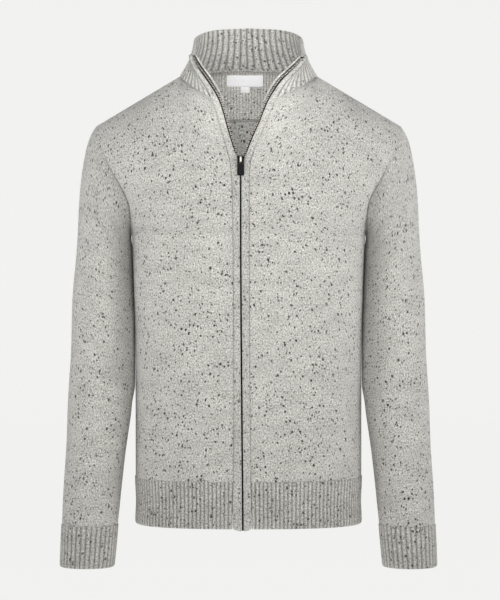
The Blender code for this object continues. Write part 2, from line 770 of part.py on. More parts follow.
# The tape's columns: reach from the teeth's line, and how far the teeth stand forward.
TapeRow = namedtuple("TapeRow", "reach raised")
TAPE_COLUMNS = (
    TapeRow(0.0, 1.0),
    TapeRow(TEETH_WIDTH, 1.0),
    TapeRow(TEETH_WIDTH + 0.0002, 0.0),
    TapeRow(TAPE_WIDTH, 0.0),
)


def tape_walls(side):
    heights = rung_heights(side)[:-1] + [RIM_END_Z[side] - 0.0015]
    heights[0] = HEM_Z - BAND_DIP + 0.001
    teeth, across, outward, _ = edge_rungs(side, heights)
    outer, inner = [], []
    for k in range(len(heights)):
        face = teeth[k] - outward[k] * (CLOTH + SEAM_GAP)
        row_out = [face + across[k] * c.reach + outward[k] * TEETH_DEPTH * c.raised for c in TAPE_COLUMNS]
        row_in = [face + across[k] * c.reach - outward[k] * TAPE_WALL for c in TAPE_COLUMNS]
        outer.append(row_out)
        inner.append(row_in)
    return np.array(outer), np.array(inner)


# ---------------------------------------------------------------- neck panel and labels


def slab(inside, outward, first, last):
    """The points of a layer inside the back, between two depths from its inner face."""
    return inside - outward * first, inside - outward * last


def neck_panel_walls(inside, outward):
    """The second layer of knit inside the neck, made from the back's own inner points."""
    middle = inside.shape[1] // 2
    span = np.s_[middle - BACK_NECK_STEPS : middle + BACK_NECK_STEPS + 1]
    points, ways = inside[-NECK_PANEL_ROWS:, span], outward[-NECK_PANEL_ROWS:, span]
    points = trim(points, ("top", "start", "end"), gap=NECK_PANEL_MARGIN)
    return slab(points, ways, NECK_PANEL_LIFT, NECK_PANEL_LIFT + NECK_PANEL_WALL)


def point_on(grid, x, z):
    """The point of a grid of points at a given x and z, between its nearest ones."""
    line = [(np.interp(x, row[:, 0], row[:, 1]), np.interp(x, row[:, 0], row[:, 2])) for row in grid]
    depths, heights = zip(*line)
    return np.array((x, np.interp(z, heights, depths), z))


def tag_walls(inside, place):
    """A woven tag on the neck panel; its own width and height are real sizes."""
    columns = np.linspace(place.middle_x - place.width / 2, place.middle_x + place.width / 2, TAG_COLUMNS)
    rows = np.linspace(place.top_z - place.height, place.top_z, 3)
    grid = np.array([[point_on(inside, x, z) for x in columns] for z in rows])
    outward = normals(grid)
    outward *= np.sign(outward[1, 1, 1])
    return slab(grid, outward, TAG_LIFT, TAG_LIFT + TAG_WALL)


# ---------------------------------------------------------------- slider and pull


def box(name, low, high, finish, collection, bevel=0.0):
    bm = bmesh.new()
    bmesh.ops.create_cube(bm, size=1.0)
    middle, size = (np.array(low) + high) / 2, np.array(high) - low
    for vert in bm.verts:
        vert.co = middle + size * np.array(vert.co)
    made = link(name, bm, finish, collection)
    if bevel:
        edge = made.modifiers.new("round", "BEVEL")
        edge.width, edge.segments = bevel, 2
    return made


def combine(target, tool, operation):
    joined = target.modifiers.new(operation.lower(), "BOOLEAN")
    joined.operation, joined.object = operation, tool
    tool.hide_render = True
    tool.display_type = "WIRE"


def zip_slider(finish, group, cutters):
    """The slider: a front plate, a back plate behind the tapes, the wedge that parts the teeth
    and the bridge that holds the pull."""
    face, back = SLIDER_FACE_Y, SLIDER_BACK_Y
    left, right = SLIDER_X - SLIDER_HALF, SLIDER_X + SLIDER_HALF
    slim_left, slim_right = SLIDER_X - BRIDGE_HALF, SLIDER_X + BRIDGE_HALF
    front = face - BRIDGE_HOLLOW - BRIDGE_WALL
    slider = box(
        "zip_slider", (left, face, SLIDER_BOTTOM_Z), (right, face + PLATE_WALL, SLIDER_TOP_Z),
        finish, group, bevel=PLATE_BEVEL,
    )
    rear = box(
        "slider_back_plate", (left + REAR_INSET, back, SLIDER_BOTTOM_Z + 3 * METAL_STEP),
        (right - REAR_INSET, back + REAR_WALL, SLIDER_TOP_Z - METAL_STEP), finish, cutters,
    )
    wedge = box(
        "slider_wedge", (slim_left, face + PLATE_WALL - METAL_STEP, SLIDER_TOP_Z - WEDGE_HEIGHT),
        (slim_right, back + METAL_STEP, SLIDER_TOP_Z - 1.5 * METAL_STEP), finish, cutters,
    )
    arch = box(
        "slider_arch", (slim_left, front, SLIDER_BOTTOM_Z + METAL_STEP / 2),
        (slim_right, face + METAL_STEP, SLIDER_TOP_Z - METAL_STEP / 2), finish, cutters,
        bevel=BRIDGE_BEVEL,
    )
    hollow = box(
        "slider_arch_hollow",
        (slim_left - CUT_OVER, front + BRIDGE_WALL, SLIDER_BOTTOM_Z + BRIDGE_WALL),
        (slim_right + CUT_OVER, face, SLIDER_TOP_Z - BRIDGE_WALL), finish, cutters,
    )
    combine(arch, hollow, "DIFFERENCE")
    for piece in (arch, wedge, rear):
        combine(slider, piece, "UNION")


def zip_pull(finish, group, cutters):
    """The pull: a bar through the bridge, two cheeks beside it and the tab below."""
    left, right = SLIDER_X - PULL_HALF, SLIDER_X + PULL_HALF
    near, far = PULL_AXIS_Y - PULL_WALL / 2, PULL_AXIS_Y + PULL_WALL / 2
    top = PULL_AXIS_Z + PULL_WALL / 2
    pull = box("zip_pull", (left, near, PULL_END_Z), (right, far, top), finish, group,
               bevel=PULL_BEVEL)
    window = box(
        "pull_window", (SLIDER_X - WINDOW_HALF, near - CUT_OVER, SLIDER_BOTTOM_Z - WINDOW_DROP),
        (SLIDER_X + WINDOW_HALF, far + CUT_OVER, top - PULL_WALL), finish, cutters,
    )
    combine(pull, window, "DIFFERENCE")


# ---------------------------------------------------------------- build


def join_seams(fronts, back, ring):
    """Gives the pieces that meet at a seam one outward direction there, so that their edges
    lie face to face. All are the garment's right half; ring is the sleeve's first ring."""
    model = fronts[0]
    side = unit(model[: LOWER_ROWS + 1, -1] + back[: LOWER_ROWS + 1, -1])
    shoulder = unit(model[-1, -SHOULDER_STEPS - 1 :] + back[-1, -SHOULDER_STEPS - 1 :])
    front_arm, back_arm = [], []
    for k in range(1, ARMHOLE_STEPS):
        for panel, place, made in ((model, k, front_arm), (back, -k, back_arm)):
            mine, theirs = panel[LOWER_ROWS + k, -1].copy(), ring[place].copy()
            if mine @ theirs > 0:
                mine = theirs = unit(mine + theirs)
            made.append(mine)
            ring[place] = theirs
    tip = unit(shoulder[-1] + ring[ARMHOLE_STEPS])
    shoulder[-1] = tip
    ring[ARMHOLE_STEPS] = tip
    for panel, arm in [(front, front_arm) for front in fronts] + [(back, back_arm)]:
        panel[: LOWER_ROWS + 1, -1] = side
        panel[LOWER_ROWS + 1 : -1, -1] = arm
        panel[-1, -SHOULDER_STEPS - 1 :] = shoulder


def join_band(side, hem_ways, front_ways, collar_ends):
    """Shares one outward direction along the band's seam with the hem rib, the front and the
    collar's end, whose rows lie on the band's rungs, and returns it."""
    turned = np.array((side, 1.0, 1.0))
    neck_rung = 1 + LOWER_ROWS + ARMHOLE_STEPS
    neighbours = (
        (hem_ways[:, 0], np.s_[:2], turned),
        (front_ways[:, 0], np.s_[1 : neck_rung + 1], turned),
        (collar_ends, np.s_[neck_rung:], 1.0),
    )
    shared = edge_rungs(side, rung_heights(side))[2]
    for column, rungs, turn in neighbours:
        shared[rungs] += column * turn
    shared = unit(shared)
    for column, rungs, turn in neighbours:
        column[:] = shared[rungs] * turn
    return shared


def outward_normals(grid, towards):
    """A grid's normals, on the side that the direction towards points to at its middle."""
    made = normals(grid)
    middle = made[made.shape[0] // 3, made.shape[1] // 3]
    return made * np.sign(middle @ np.array(towards, float))


def front_edges(rib, band, group):
    """The front hem ribs, the collar and the bands, which share the bands' seams with the
    fronts. Returns each front's outward directions."""
    middle = collar_middle()
    collar_out = collar_ways(middle)
    front_ways = {}
    for name, side in (("right", 1), ("left", -1)):
        starts = [side * read(edge_table(side), "seam_x", z) for z in (HEM_Z, HEM_TOP_Z)]
        inside, hem_out = hem_inside(starts, "seam_depth", -1)
        front_ways[side] = outward_normals(front_grid(side), (0, -1, 0))
        ends = collar_out[:, -1 if side > 0 else 0]
        seam_ways = join_band(side, hem_out, front_ways[side], ends)
        outer, inner = hem_walls(inside, hem_out)
        turned = (side, 1, 1)
        wall("hem_rib_" + name, outer * turned, inner * turned, rib, group)
        outer, inner = band_walls(side, seam_ways)
        wall("front_band_" + name, outer, inner, band, group)
    outer, inner = collar_walls(middle, collar_out)
    wall("collar", outer, inner, rib, group)
    return front_ways


def body(front_ways, knit, group):
    """The fronts, the back and the sleeves. Returns the back's inner points and directions."""
    half_back, sleeve = back_grid(), sleeve_grid()
    full_out = outward_normals(full_width(half_back), (0, 1, 0))
    back_out = full_out[:, half_back.shape[1] - 1 :].copy()
    sleeve_out = normals(sleeve, closed=True)
    sleeve_out *= np.sign(sleeve_out[ARMHOLE_STEPS, ARMHOLE_STEPS, 0])
    join_seams([front_ways[1], front_ways[-1]], back_out, sleeve_out[0])

    for name, side in (("front_right", 1), ("front_left", -1)):
        front = trim(front_grid(side), ("bottom", "top", "start", "end"))
        inside = front - front_ways[side] * CLOTH
        turned = (side, 1, 1)
        wall(name, front * turned, inside * turned, knit, group)
    half_back = trim(half_back, ("bottom", "top", "end"))
    outer, inner = full_width(half_back), full_width(half_back - back_out * CLOTH)
    wall("back", outer, inner, knit, group)
    sleeve = trim(sleeve, ("bottom", "top"))
    inside = sleeve - sleeve_out * CLOTH
    wall("sleeve_right", sleeve, inside, knit, group, closed=True)
    wall("sleeve_left", mirrored(sleeve), mirrored(inside), knit, group, closed=True)
    return inner, full_width(back_out)


def ribs(rib, group):
    """The cuffs and the back's rib hem."""
    inner, outer = cuff_walls()
    wall("cuff_right", outer, inner, rib, group, closed=True)
    wall("cuff_left", mirrored(outer), mirrored(inner), rib, group, closed=True)
    outer, inner = hem_walls(*hem_inside((0.0, 0.0), "back_depth", 1, whole=True))
    wall("hem_rib_back", outer, inner, rib, group)


def build():
    clear_scene()
    group = bpy.data.collections.new("knit_cardigan")
    cutters = bpy.data.collections.new("cutters")
    for made in (group, cutters):
        bpy.context.scene.collection.children.link(made)
    knit = material("knit", (0.52, 0.51, 0.47), 0.95)
    rib = material("rib", (0.47, 0.46, 0.43), 0.95)
    band = material("band", (0.56, 0.55, 0.51), 0.95)
    tape = material("zip_tape", (0.03, 0.03, 0.03), 0.8)
    metal = material("slider_metal", (0.30, 0.29, 0.28), 0.35, metallic=1.0)
    black = material("pull", (0.03, 0.03, 0.03), 0.5)
    white = material("label", (0.85, 0.85, 0.84), 0.8)

    front_ways = front_edges(rib, band, group)
    inside, outward = body(front_ways, knit, group)
    ribs(rib, group)
    outer, inner = neck_panel_walls(inside, outward)
    wall("back_neck_panel", outer, inner, knit, group)
    for name, place in (("neck_label", NECK_LABEL), ("size_tab", SIZE_TAB)):
        tag_outer, tag_inner = tag_walls(inner, place)
        wall(name, tag_outer, tag_inner, white, group)
    for name, side in (("right", 1), ("left", -1)):
        outer, inner = tape_walls(side)
        wall("zip_tape_" + name, outer, inner, tape, group)
    zip_slider(metal, group, cutters)
    zip_pull(black, group, cutters)


build()
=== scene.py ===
"""A long-sleeved zip-up knit cardigan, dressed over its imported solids.

Metres, +X to the viewer's right, +Y to the garment's back, +Z up. Each cloth piece is laid on the
same form as its solid, with finer rows, rounded open edges, soft folds and a knitted finish.
"""

import bisect
import math
from collections import namedtuple

import bmesh
import bpy
import numpy as np
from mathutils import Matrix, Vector


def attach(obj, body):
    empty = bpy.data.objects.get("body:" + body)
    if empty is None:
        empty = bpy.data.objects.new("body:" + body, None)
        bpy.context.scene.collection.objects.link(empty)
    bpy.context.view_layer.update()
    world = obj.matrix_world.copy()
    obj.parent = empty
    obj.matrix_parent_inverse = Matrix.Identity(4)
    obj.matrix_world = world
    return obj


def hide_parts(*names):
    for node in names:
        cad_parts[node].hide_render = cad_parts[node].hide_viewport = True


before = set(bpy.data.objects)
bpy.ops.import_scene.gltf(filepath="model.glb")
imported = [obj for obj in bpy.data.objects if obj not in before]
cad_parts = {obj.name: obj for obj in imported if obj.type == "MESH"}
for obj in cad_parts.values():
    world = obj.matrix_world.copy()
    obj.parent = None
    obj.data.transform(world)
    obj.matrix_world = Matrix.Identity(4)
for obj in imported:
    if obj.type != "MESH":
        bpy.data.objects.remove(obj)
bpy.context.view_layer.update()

# ---------------------------------------------------------------- the garment's sizes

HEM_Z, HEM_TOP_Z, UNDERARM_Z = -0.692, -0.6203, -0.246
NECK_FRONT_Z, NECK_BACK_Z = -0.040, 0.019
NECK_HALF, NECK_BACK_DEPTH = 0.105, 0.088
SHOULDER_TIP_X, SHOULDER_TIP_Z = 0.2365, -0.0785
CHEST_DEPTH_FRONT, CHEST_DEPTH_BACK = 0.128, 0.124
ARMHOLE_DEPTH_FRONT, ARMHOLE_DEPTH_BACK = 0.062, 0.070

CLOTH = 0.003
SEAM_ROLL, SEAM_RIDGE_AT, SEAM_RIDGE, SEAM_GROOVE = 0.0007, 0.006, 0.004, 0.0028
NECK_PANEL_ROWS, NECK_PANEL_GAP, NECK_PANEL_INSIDE = 7, 0.0005, 0.0020
PANEL_CORD_RADIUS, PANEL_CORD_LIFT = 0.0011, (0.0, 0.0, 0.0004)
COLLAR_CORD_RADIUS, COLLAR_CORD_DROP = 0.0010, (0.0, 0.0, 0.0002)
TAG_ROWS, TAG_COLUMNS = 9, 25
TAG_WALL, TAG_GAP, TAG_BELLY = 0.0005, 0.0009, 0.0007

RIB_WALL, RIB_HEIGHT, HEM_DRAW = 0.0028, 0.0013, 0.0016
HEM_RIB_PITCH, CUFF_RIB_PITCH, COLLAR_RIB_PITCH = 0.0061, 0.0072, 0.0095
COLLAR_GROOVE_WALL, COLLAR_RIDGE_WALL, COLLAR_HOLLOW = 0.0028, 0.0050, 0.0045
COLUMNS_PER_RIB, RIB_ROWS, RIB_FADE_ROWS, COLLAR_ROWS, FINE_COLUMNS = 4, 9, 3, 18, 599

BAND_CROWN, BAND_DIP, BAND_SEAM_GAP = 0.0014, 0.003, 0.0004
BAND_CLEAR_CLOSED, BAND_CLEAR_OPEN, BAND_CLEAR_TOP = 0.0012, 0.0028, 0.0052
ZIP_CLOSED_Z, ZIP_PARTED_Z, ZIP_WIDENS = -0.1405, -0.1150, 0.06
TAPE_WALL, TAPE_WIDTH, TAPE_GAP, TAPE_FORWARD = 0.0010, 0.0085, 0.0004, 0.0018
TAPE_PAST_TEETH, TAPE_STEPS_BACK = (0.0012, 0.0026), (-0.0008, 0.0006)
TURNED_LOW_Z, TURNED_WIDTHS, TURNED_WIDENS = -0.052, (0.0008, 0.0038), 0.05
TURNED_CLEAR, TURNED_PUFF, TURNED_WALL = 0.0034, 0.0010, 0.0016
# The teeth. Pairs are for the closed and for the parted zip.
TOOTH_PITCH, TOOTH_DEPTH, TOOTH_HEIGHT, TOOTH_TAPER = 0.0030, 0.0022, 0.0014, 0.62
TOOTH_WIDTH, TOOTH_REACH, TOOTH_SUNK = (0.0026, 0.0022), (0.0008, -0.0002), (0.0040, 0.0010)
SLIDER_X, BRIDGE_FRONT_Y, BRIDGE_MIDDLE_Z = -0.0117, -0.1319, -0.1352
BRIDGE_CAP_HALF, BRIDGE_CAP_HEIGHT = 0.0014, 0.0080

# The crease along the lower front armhole, where the arm hangs down: how deep it is sunk, how far
# it slopes on the sleeve, and how near the seam the front's own cloth turns in.
ARM_CREASE, ARM_CREASE_REACH, ARM_SEAM_SINK = 0.0036, 0.0110, 0.0008
ARM_PINCH, SEAM_TURN = 0.0034, 0.0014
WAVER_HEIGHT, BODY_FOLD_GAIN, SLEEVE_FOLD_GAIN, SLEEVE_RADIUS = 0.0006, 1.4, 2.0, 0.055
# Over how many rows, and columns, folds die away towards a piece's edges.
EDGE_FADE = (5, 4)

SQUARENESS, SHOULDER_ROUNDING, NECK_DROP = 2.6, 2.2, 1.25
LOWER_ROWS, ARMHOLE_STEPS = 18, 16
FRONT_NECK_STEPS, BACK_NECK_STEPS, SHOULDER_STEPS = 8, 12, 10
SLEEVE_STEPS, ARMHOLE_BLEND = 44, 0.25
EVENING_PASSES, EVENED_TO = 16, 0.94
PRESS_DEPTH, PRESS_REACH, PRESS_GAP, PRESS_FADE = 0.006, 0.020, 0.0002, 0.030
PRESS_END_Z, PRESS_LIMIT_X = -0.506, 0.215

SIDES = (("right", 1), ("left", -1))
ALL_EDGES = ("bottom", "top", "start", "end")
LEVEL, BACKWARD = np.array((1.0, 1.0, 0.0)), np.array((0.0, 1.0, 0.0))


def table(row, *rows):
    """A short table, whose rows are read by the names of its columns."""
    return tuple(row(*values) for values in rows)


WidthRow = namedtuple("WidthRow", "z half_width")
WIDTHS = table(
    WidthRow,
    (-0.692, 0.1745),
    (-0.620, 0.1750),
    (-0.500, 0.1752),
    (-0.400, 0.1757),
    (-0.330, 0.1772),
    (-0.246, 0.1810),
)

DepthRow = namedtuple("DepthRow", "z zip_depth seam_depth back_depth")
DEPTHS = table(
    DepthRow,
    (-0.7000, 0.1130, 0.1130, 0.103),
    (-0.6200, 0.1170, 0.1170, 0.107),
    (-0.5000, 0.1200, 0.1200, 0.106),
    (-0.4000, 0.1220, 0.1220, 0.109),
    (-0.3300, 0.1250, 0.1250, 0.116),
    (-0.2620, 0.1280, 0.1280, 0.124),
    (-0.2000, 0.1275, 0.1275, 0.124),
    (-0.1310, 0.1240, 0.1240, 0.124),
    (-0.1090, 0.1215, 0.1205, 0.124),
    (-0.0887, 0.1175, 0.1160, 0.124),
    (-0.0674, 0.1115, 0.1090, 0.124),
    (-0.0436, 0.1045, 0.1005, 0.124),
    (-0.0255, 0.0995, 0.0940, 0.124),
    (-0.0081, 0.0940, 0.0870, 0.124),
    (0.0077, 0.0885, 0.0790, 0.124),
    (0.0252, 0.0820, 0.0700, 0.124),
)

EdgeRow = namedtuple("EdgeRow", "z zip_x seam_x")
EDGE_LEFT = table(
    EdgeRow,
    (-0.7000, -0.0084, -0.0245),
    (-0.6203, -0.0090, -0.0235),
    (-0.5400, -0.0098, -0.0226),
    (-0.2000, -0.0118, -0.0240),
    (-0.1405, -0.0116, -0.0275),
    (-0.1310, -0.0160, -0.0298),
    (-0.1139, -0.0215, -0.0345),
    (-0.0887, -0.0291, -0.0425),
    (-0.0674, -0.0349, -0.0480),
    (-0.0436, -0.0427, -0.0560),
    (-0.0255, -0.0526, -0.0648),
    (-0.0081, -0.0642, -0.0757),
    (0.0077, -0.0758, -0.0857),
    (0.0252, -0.0850, -0.0913),
)
EDGE_RIGHT = table(
    EdgeRow,
    (-0.7000, -0.0084, 0.0045),
    (-0.6203, -0.0090, 0.0040),
    (-0.5400, -0.0098, 0.0030),
    (-0.2000, -0.0118, 0.0014),
    (-0.1405, -0.0116, 0.0022),
    (-0.1310, -0.0068, 0.0046),
    (-0.1177, -0.0024, 0.0105),
    (-0.0984, 0.0052, 0.0180),
    (-0.0770, 0.0149, 0.0280),
    (-0.0515, 0.0246, 0.0380),
    (-0.0300, 0.0361, 0.0490),
    (-0.0131, 0.0478, 0.0603),
    (0.0022, 0.0646, 0.0760),
    (0.0222, 0.0842, 0.0908),
)

ArmholeRow = namedtuple("ArmholeRow", "rise x")
ARMHOLE = table(
    ArmholeRow,
    (0.00, 0.1810),
    (0.18, 0.1815),
    (0.30, 0.1845),
    (0.53, 0.2053),
    (0.81, 0.2262),
    (0.91, 0.2325),
    (1.00, 0.2365),
)

SleeveRow = namedtuple("SleeveRow", "along inner_x inner_z outer_x outer_z mid_y front back")
SLEEVE = table(
    SleeveRow,
    (0.00, 0.1810, -0.2460, 0.2365, -0.0785, 0.000, 0.062, 0.070),
    (0.03, 0.1824, -0.2500, 0.2448, -0.0910, 0.000, 0.063, 0.071),
    (0.06, 0.1832, -0.2550, 0.2500, -0.1060, 0.000, 0.064, 0.071),
    (0.10, 0.1838, -0.2610, 0.2545, -0.1250, 0.000, 0.065, 0.071),
    (0.14, 0.1840, -0.2690, 0.2582, -0.1480, 0.000, 0.066, 0.071),
    (0.19, 0.1838, -0.2790, 0.2614, -0.1780, 0.000, 0.067, 0.070),
    (0.25, 0.1828, -0.2950, 0.2645, -0.2150, -0.001, 0.067, 0.069),
    (0.33, 0.1810, -0.3230, 0.2678, -0.2640, -0.002, 0.066, 0.066),
    (0.42, 0.1794, -0.3650, 0.2705, -0.3200, -0.004, 0.064, 0.063),
    (0.51, 0.1786, -0.4090, 0.2730, -0.3800, -0.007, 0.061, 0.059),
    (0.61, 0.1786, -0.4580, 0.2760, -0.4400, -0.011, 0.058, 0.055),
    (0.71, 0.1800, -0.5080, 0.2786, -0.5000, -0.016, 0.055, 0.051),
    (0.80, 0.1858, -0.5560, 0.2812, -0.5540, -0.021, 0.052, 0.047),
    (0.90, 0.1937, -0.6250, 0.2848, -0.6240, -0.027, 0.047, 0.043),
    (1.00, 0.2008, -0.6925, 0.2873, -0.6925, -0.032, 0.043, 0.039),
)
CUFF_END = SleeveRow(1.00, 0.2068, -0.7570, 0.2895, -0.7570, -0.034, 0.040, 0.036)

RimRow = namedtuple("RimRow", "around x y z")
RIM = table(
    RimRow,
    (0.00, 0.0000, 0.080, 0.0820),
    (0.24, 0.0490, 0.070, 0.0785),
    (0.42, 0.0750, 0.046, 0.0700),
    (0.58, 0.0832, 0.014, 0.0590),
    (0.72, 0.0838, -0.014, 0.0470),
    (0.86, 0.0848, -0.042, 0.0350),
    (1.00, 0.0913, -0.070, 0.0252),
)
RIM_END_Z = {-1: 0.0252, 1: 0.0222}

TagPlace = namedtuple("TagPlace", "middle_x width top_z height")
NECK_LABEL = TagPlace(-0.0057, 0.0570, 0.0084, 0.0175)
SIZE_TAB = TagPlace(-0.0052, 0.0138, -0.0094, 0.0088)

# Soft folds seen from the front or the back: from one end to the other, how wide, how high
# (negative for a trough). Sleeve folds are given on the right sleeve's x.
Fold = namedtuple("Fold", "x0 z0 x1 z1 width height")
FRONT_FOLDS = {
    1: table(
        Fold,
        (0.118, -0.420, 0.160, -0.590, 0.014, 0.0022),
        (0.150, -0.440, 0.172, -0.560, 0.012, -0.0020),
        (0.060, -0.480, 0.105, -0.560, 0.018, -0.0012),
        (0.172, -0.230, 0.120, -0.330, 0.016, 0.0016),
        (0.176, -0.200, 0.150, -0.260, 0.012, -0.0016),
        (0.040, -0.250, 0.100, -0.270, 0.020, -0.0009),
    ),
    -1: table(
        Fold,
        (0.165, -0.420, 0.120, -0.540, 0.016, 0.0014),
        (0.172, -0.300, 0.120, -0.400, 0.018, 0.0016),
        (0.176, -0.215, 0.150, -0.290, 0.012, -0.0018),
        (0.070, -0.460, 0.110, -0.550, 0.018, -0.0012),
        (0.030, -0.590, 0.080, -0.610, 0.012, -0.0010),
    ),
}
BACK_FOLDS = table(
    Fold,
    (-0.172, -0.250, -0.110, -0.360, 0.018, 0.0022),
    (0.172, -0.240, 0.115, -0.350, 0.018, 0.0022),
    (-0.120, -0.440, 0.010, -0.470, 0.022, -0.0018),
    (0.130, -0.430, 0.020, -0.480, 0.022, -0.0018),
    (-0.060, -0.540, 0.080, -0.560, 0.024, 0.0016),
)
SleeveFold = namedtuple("SleeveFold", "turn0 z0 turn1 z1 width height")
SLEEVE_FOLDS = {
    -1: table(
        SleeveFold,
        (60, -0.215, 130, -0.260, 0.011, -0.0024),
        (40, -0.250, 110, -0.300, 0.012, 0.0016),
        (20, -0.455, 120, -0.430, 0.016, -0.0024),
        (30, -0.505, 150, -0.520, 0.010, -0.0018),
        (20, -0.480, 120, -0.475, 0.012, 0.0016),
        (20, -0.600, 160, -0.612, 0.009, -0.0016),
        (40, -0.650, 150, -0.640, 0.009, 0.0012),
        (200, -0.430, 330, -0.455, 0.016, -0.0024),
        (210, -0.500, 320, -0.490, 0.014, 0.0020),
    ),
    1: table(
        SleeveFold,
        (60, -0.330, 150, -0.350, 0.012, -0.0018),
        (50, -0.365, 150, -0.385, 0.012, 0.0014),
        (30, -0.470, 150, -0.455, 0.012, -0.0020),
        (20, -0.500, 140, -0.505, 0.013, 0.0016),
        (20, -0.560, 150, -0.570, 0.010, -0.0014),
        (30, -0.640, 160, -0.625, 0.009, -0.0014),
        (200, -0.440, 330, -0.460, 0.016, -0.0024),
        (210, -0.505, 320, -0.500, 0.014, 0.0020),
    ),
}

# ---------------------------------------------------------------- colours and lights

WOOL, BAND_WOOL, RIB_WOOL = (0.66, 0.648, 0.605), (0.575, 0.565, 0.53), (0.615, 0.60, 0.557)
COLLAR_WOOL, NECK_WOOL = (0.76, 0.745, 0.695), (0.70, 0.685, 0.64)
STITCH_SWAY, STITCH_LEAN = 0.0011, 1.3
# A rib's groove is how much its grooves are darkened in colour: painted shade.
Rib = namedtuple("Rib", "pitch groove crest")

FleckLayer = namedtuple("FleckLayer", "cell lean squeeze chosen radius shift tint")
FLECK_LAYERS = table(
    FleckLayer,
    (0.0062, 0.18, 0.82, 0.14, 0.00185, 3.1, (0.004, 0.004, 0.005)),
    (0.0048, -0.30, 0.76, 0.14, 0.00135, 7.7, (0.012, 0.012, 0.011)),
    (0.0040, 0.12, 1.08, 0.16, 0.00105, 1.9, (0.13, 0.115, 0.095)),
    (0.0042, -0.2, 0.80, 0.16, 0.00105, 5.3, (0.86, 0.85, 0.83)),
)

CAMERA_AT, LENS_MM, LENS_SHIFT = (0.0, -3.6, -0.30), 139.1, (0.0025, -0.0515)
COVE_FRONT_Y, COVE_WALL_Y, COVE_BEND = -8.0, 6.3, 0.8
COVE_FLOOR_Z, COVE_HEIGHT, COVE_HALF_WIDTH = -1.5, 6.5, 6.0
# The shares of the cove's length where its floor ends and where its wall starts.
COVE_FLOOR_END, COVE_WALL_START = 0.4, 0.6
COVE_GLOW, COVE_GLOW_STRENGTH = (0.897, 0.897, 0.880), 0.93
FILL_COLOUR, FILL_STRENGTH = (1.0, 1.0, 0.99, 1.0), 0.30
Light = namedtuple("Light", "name place size power spread aim")
LIGHTS = table(
    Light,
    ("left_front_softbox", (-0.7, -2.4, 0.05), 1.1, 0.70, 31, (0.0, 0.0, -0.06)),
    ("right_front_softbox", (0.7, -2.4, 0.05), 1.1, 0.71, 31, (0.0, 0.0, -0.06)),
    ("left_softbox", (-2.4, -1.35, 0.08), 1.3, 2.40, 52, (0.0, 0.0, -0.02)),
    ("right_softbox", (2.4, -1.35, 0.08), 1.3, 3.35, 52, (0.0, 0.0, -0.02)),
    ("neck_light", (0.0, -0.72, 0.12), 0.16, 0.054, 16, (0.0, 0.10, -0.05)),
)

# ---------------------------------------------------------------- reading and measuring


def read(table, column, at):
    """Reads a column between a table's rows, on a smooth curve that never overshoots them."""
    keys = [row[0] for row in table]
    values = [getattr(row, column) for row in table]
    at = min(max(at, keys[0]), keys[-1])
    k = max(0, min(bisect.bisect_right(keys, at) - 1, len(keys) - 2))
    steps = [(values[i + 1] - values[i]) / (keys[i + 1] - keys[i]) for i in range(len(keys) - 1)]

    def slope(i):
        if i in (0, len(keys) - 1):
            return steps[min(i, len(steps) - 1)]
        before, after = steps[i - 1], steps[i]
        return 0.0 if before * after <= 0 else 2 * before * after / (before + after)

    span = keys[k + 1] - keys[k]
    t = (at - keys[k]) / span
    start = values[k] * (1 + 2 * t) * (1 - t) ** 2 + values[k + 1] * t * t * (3 - 2 * t)
    return start + span * (slope(k) * t * (1 - t) ** 2 - slope(k + 1) * t * t * (1 - t))


def lerp(a, b, t):
    return a + (b - a) * t


def ease(t):
    t = np.clip(t, 0.0, 1.0)
    return t * t * (3 - 2 * t)


def unit(vectors):
    lengths = np.linalg.norm(vectors, axis=-1, keepdims=True)
    return vectors / np.maximum(lengths, 1e-12)


def normals(grid, closed=False):
    """The surface normals of a grid of points, which point to the right of rows x columns."""
    if closed:
        wrapped = np.concatenate([grid[:, -1:], grid, grid[:, :1]], axis=1)
        across = np.gradient(wrapped, axis=1)[:, 1:-1]
    else:
        across = np.gradient(grid, axis=1)
    along = np.gradient(grid, axis=0)
    return unit(np.cross(across, along))


def even_arc(points, count, closed=False):
    """Resamples a fine line of points at equal steps along its length."""
    if closed:
        points = np.vstack([points, points[:1]])
    lengths = np.concatenate([[0], np.cumsum(np.linalg.norm(np.diff(points, axis=0), axis=1))])
    wanted = np.linspace(0, lengths[-1], count + 1)
    even = np.stack([np.interp(wanted, lengths, points[:, k]) for k in range(3)], axis=1)
    return even[:-1] if closed else even


def refine(points, times, axis=0, closed=False):
    """Slips extra rows or columns between a grid's own, on smooth curves through them."""
    points = np.moveaxis(points, axis, 0)
    if closed:
        padded = np.concatenate([points[-1:], points, points[:2]])
    else:
        ends = (2 * points[:1] - points[1:2], 2 * points[-1:] - points[-2:-1])
        padded = np.concatenate([ends[0], points, ends[1]])
    before, here, there, after = (padded[k : len(padded) - 3 + k] for k in range(4))
    made = []
    for step in range(times):
        t = step / times
        straight = 2 * here + (there - before) * t
        bend = (2 * before - 5 * here + 4 * there - after) * t**2
        twist = (3 * here - before - 3 * there + after) * t**3
        made.append(0.5 * (straight + bend + twist))
    made = np.stack(made, axis=1).reshape(-1, *points.shape[1:])
    if not closed:
        made = np.concatenate([made, points[-1:]])
    return np.moveaxis(made, 0, axis)


def mirrored(grid, side=-1):
    return grid * np.array((side, 1.0, 1.0))


def arc_lengths(grid, axis):
    steps = np.linalg.norm(np.diff(grid, axis=axis), axis=-1)
    return np.concatenate([np.zeros_like(np.take(steps, [0], axis)), np.cumsum(steps, axis)], axis)


def level_lengths(grid):
    """Lengths along the columns, evened out so that each row stays level."""
    up = arc_lengths(grid, 0)
    return np.broadcast_to(up.mean(axis=1, keepdims=True), up.shape)


# ---------------------------------------------------------------- the body's form


def superellipse_x(half, turn):
    return half * abs(math.sin(turn)) ** (2 / SQUARENESS)


def superellipse_depth(share):
    return max(0.0, 1 - min(1.0, abs(share)) ** SQUARENESS) ** (1 / SQUARENESS)


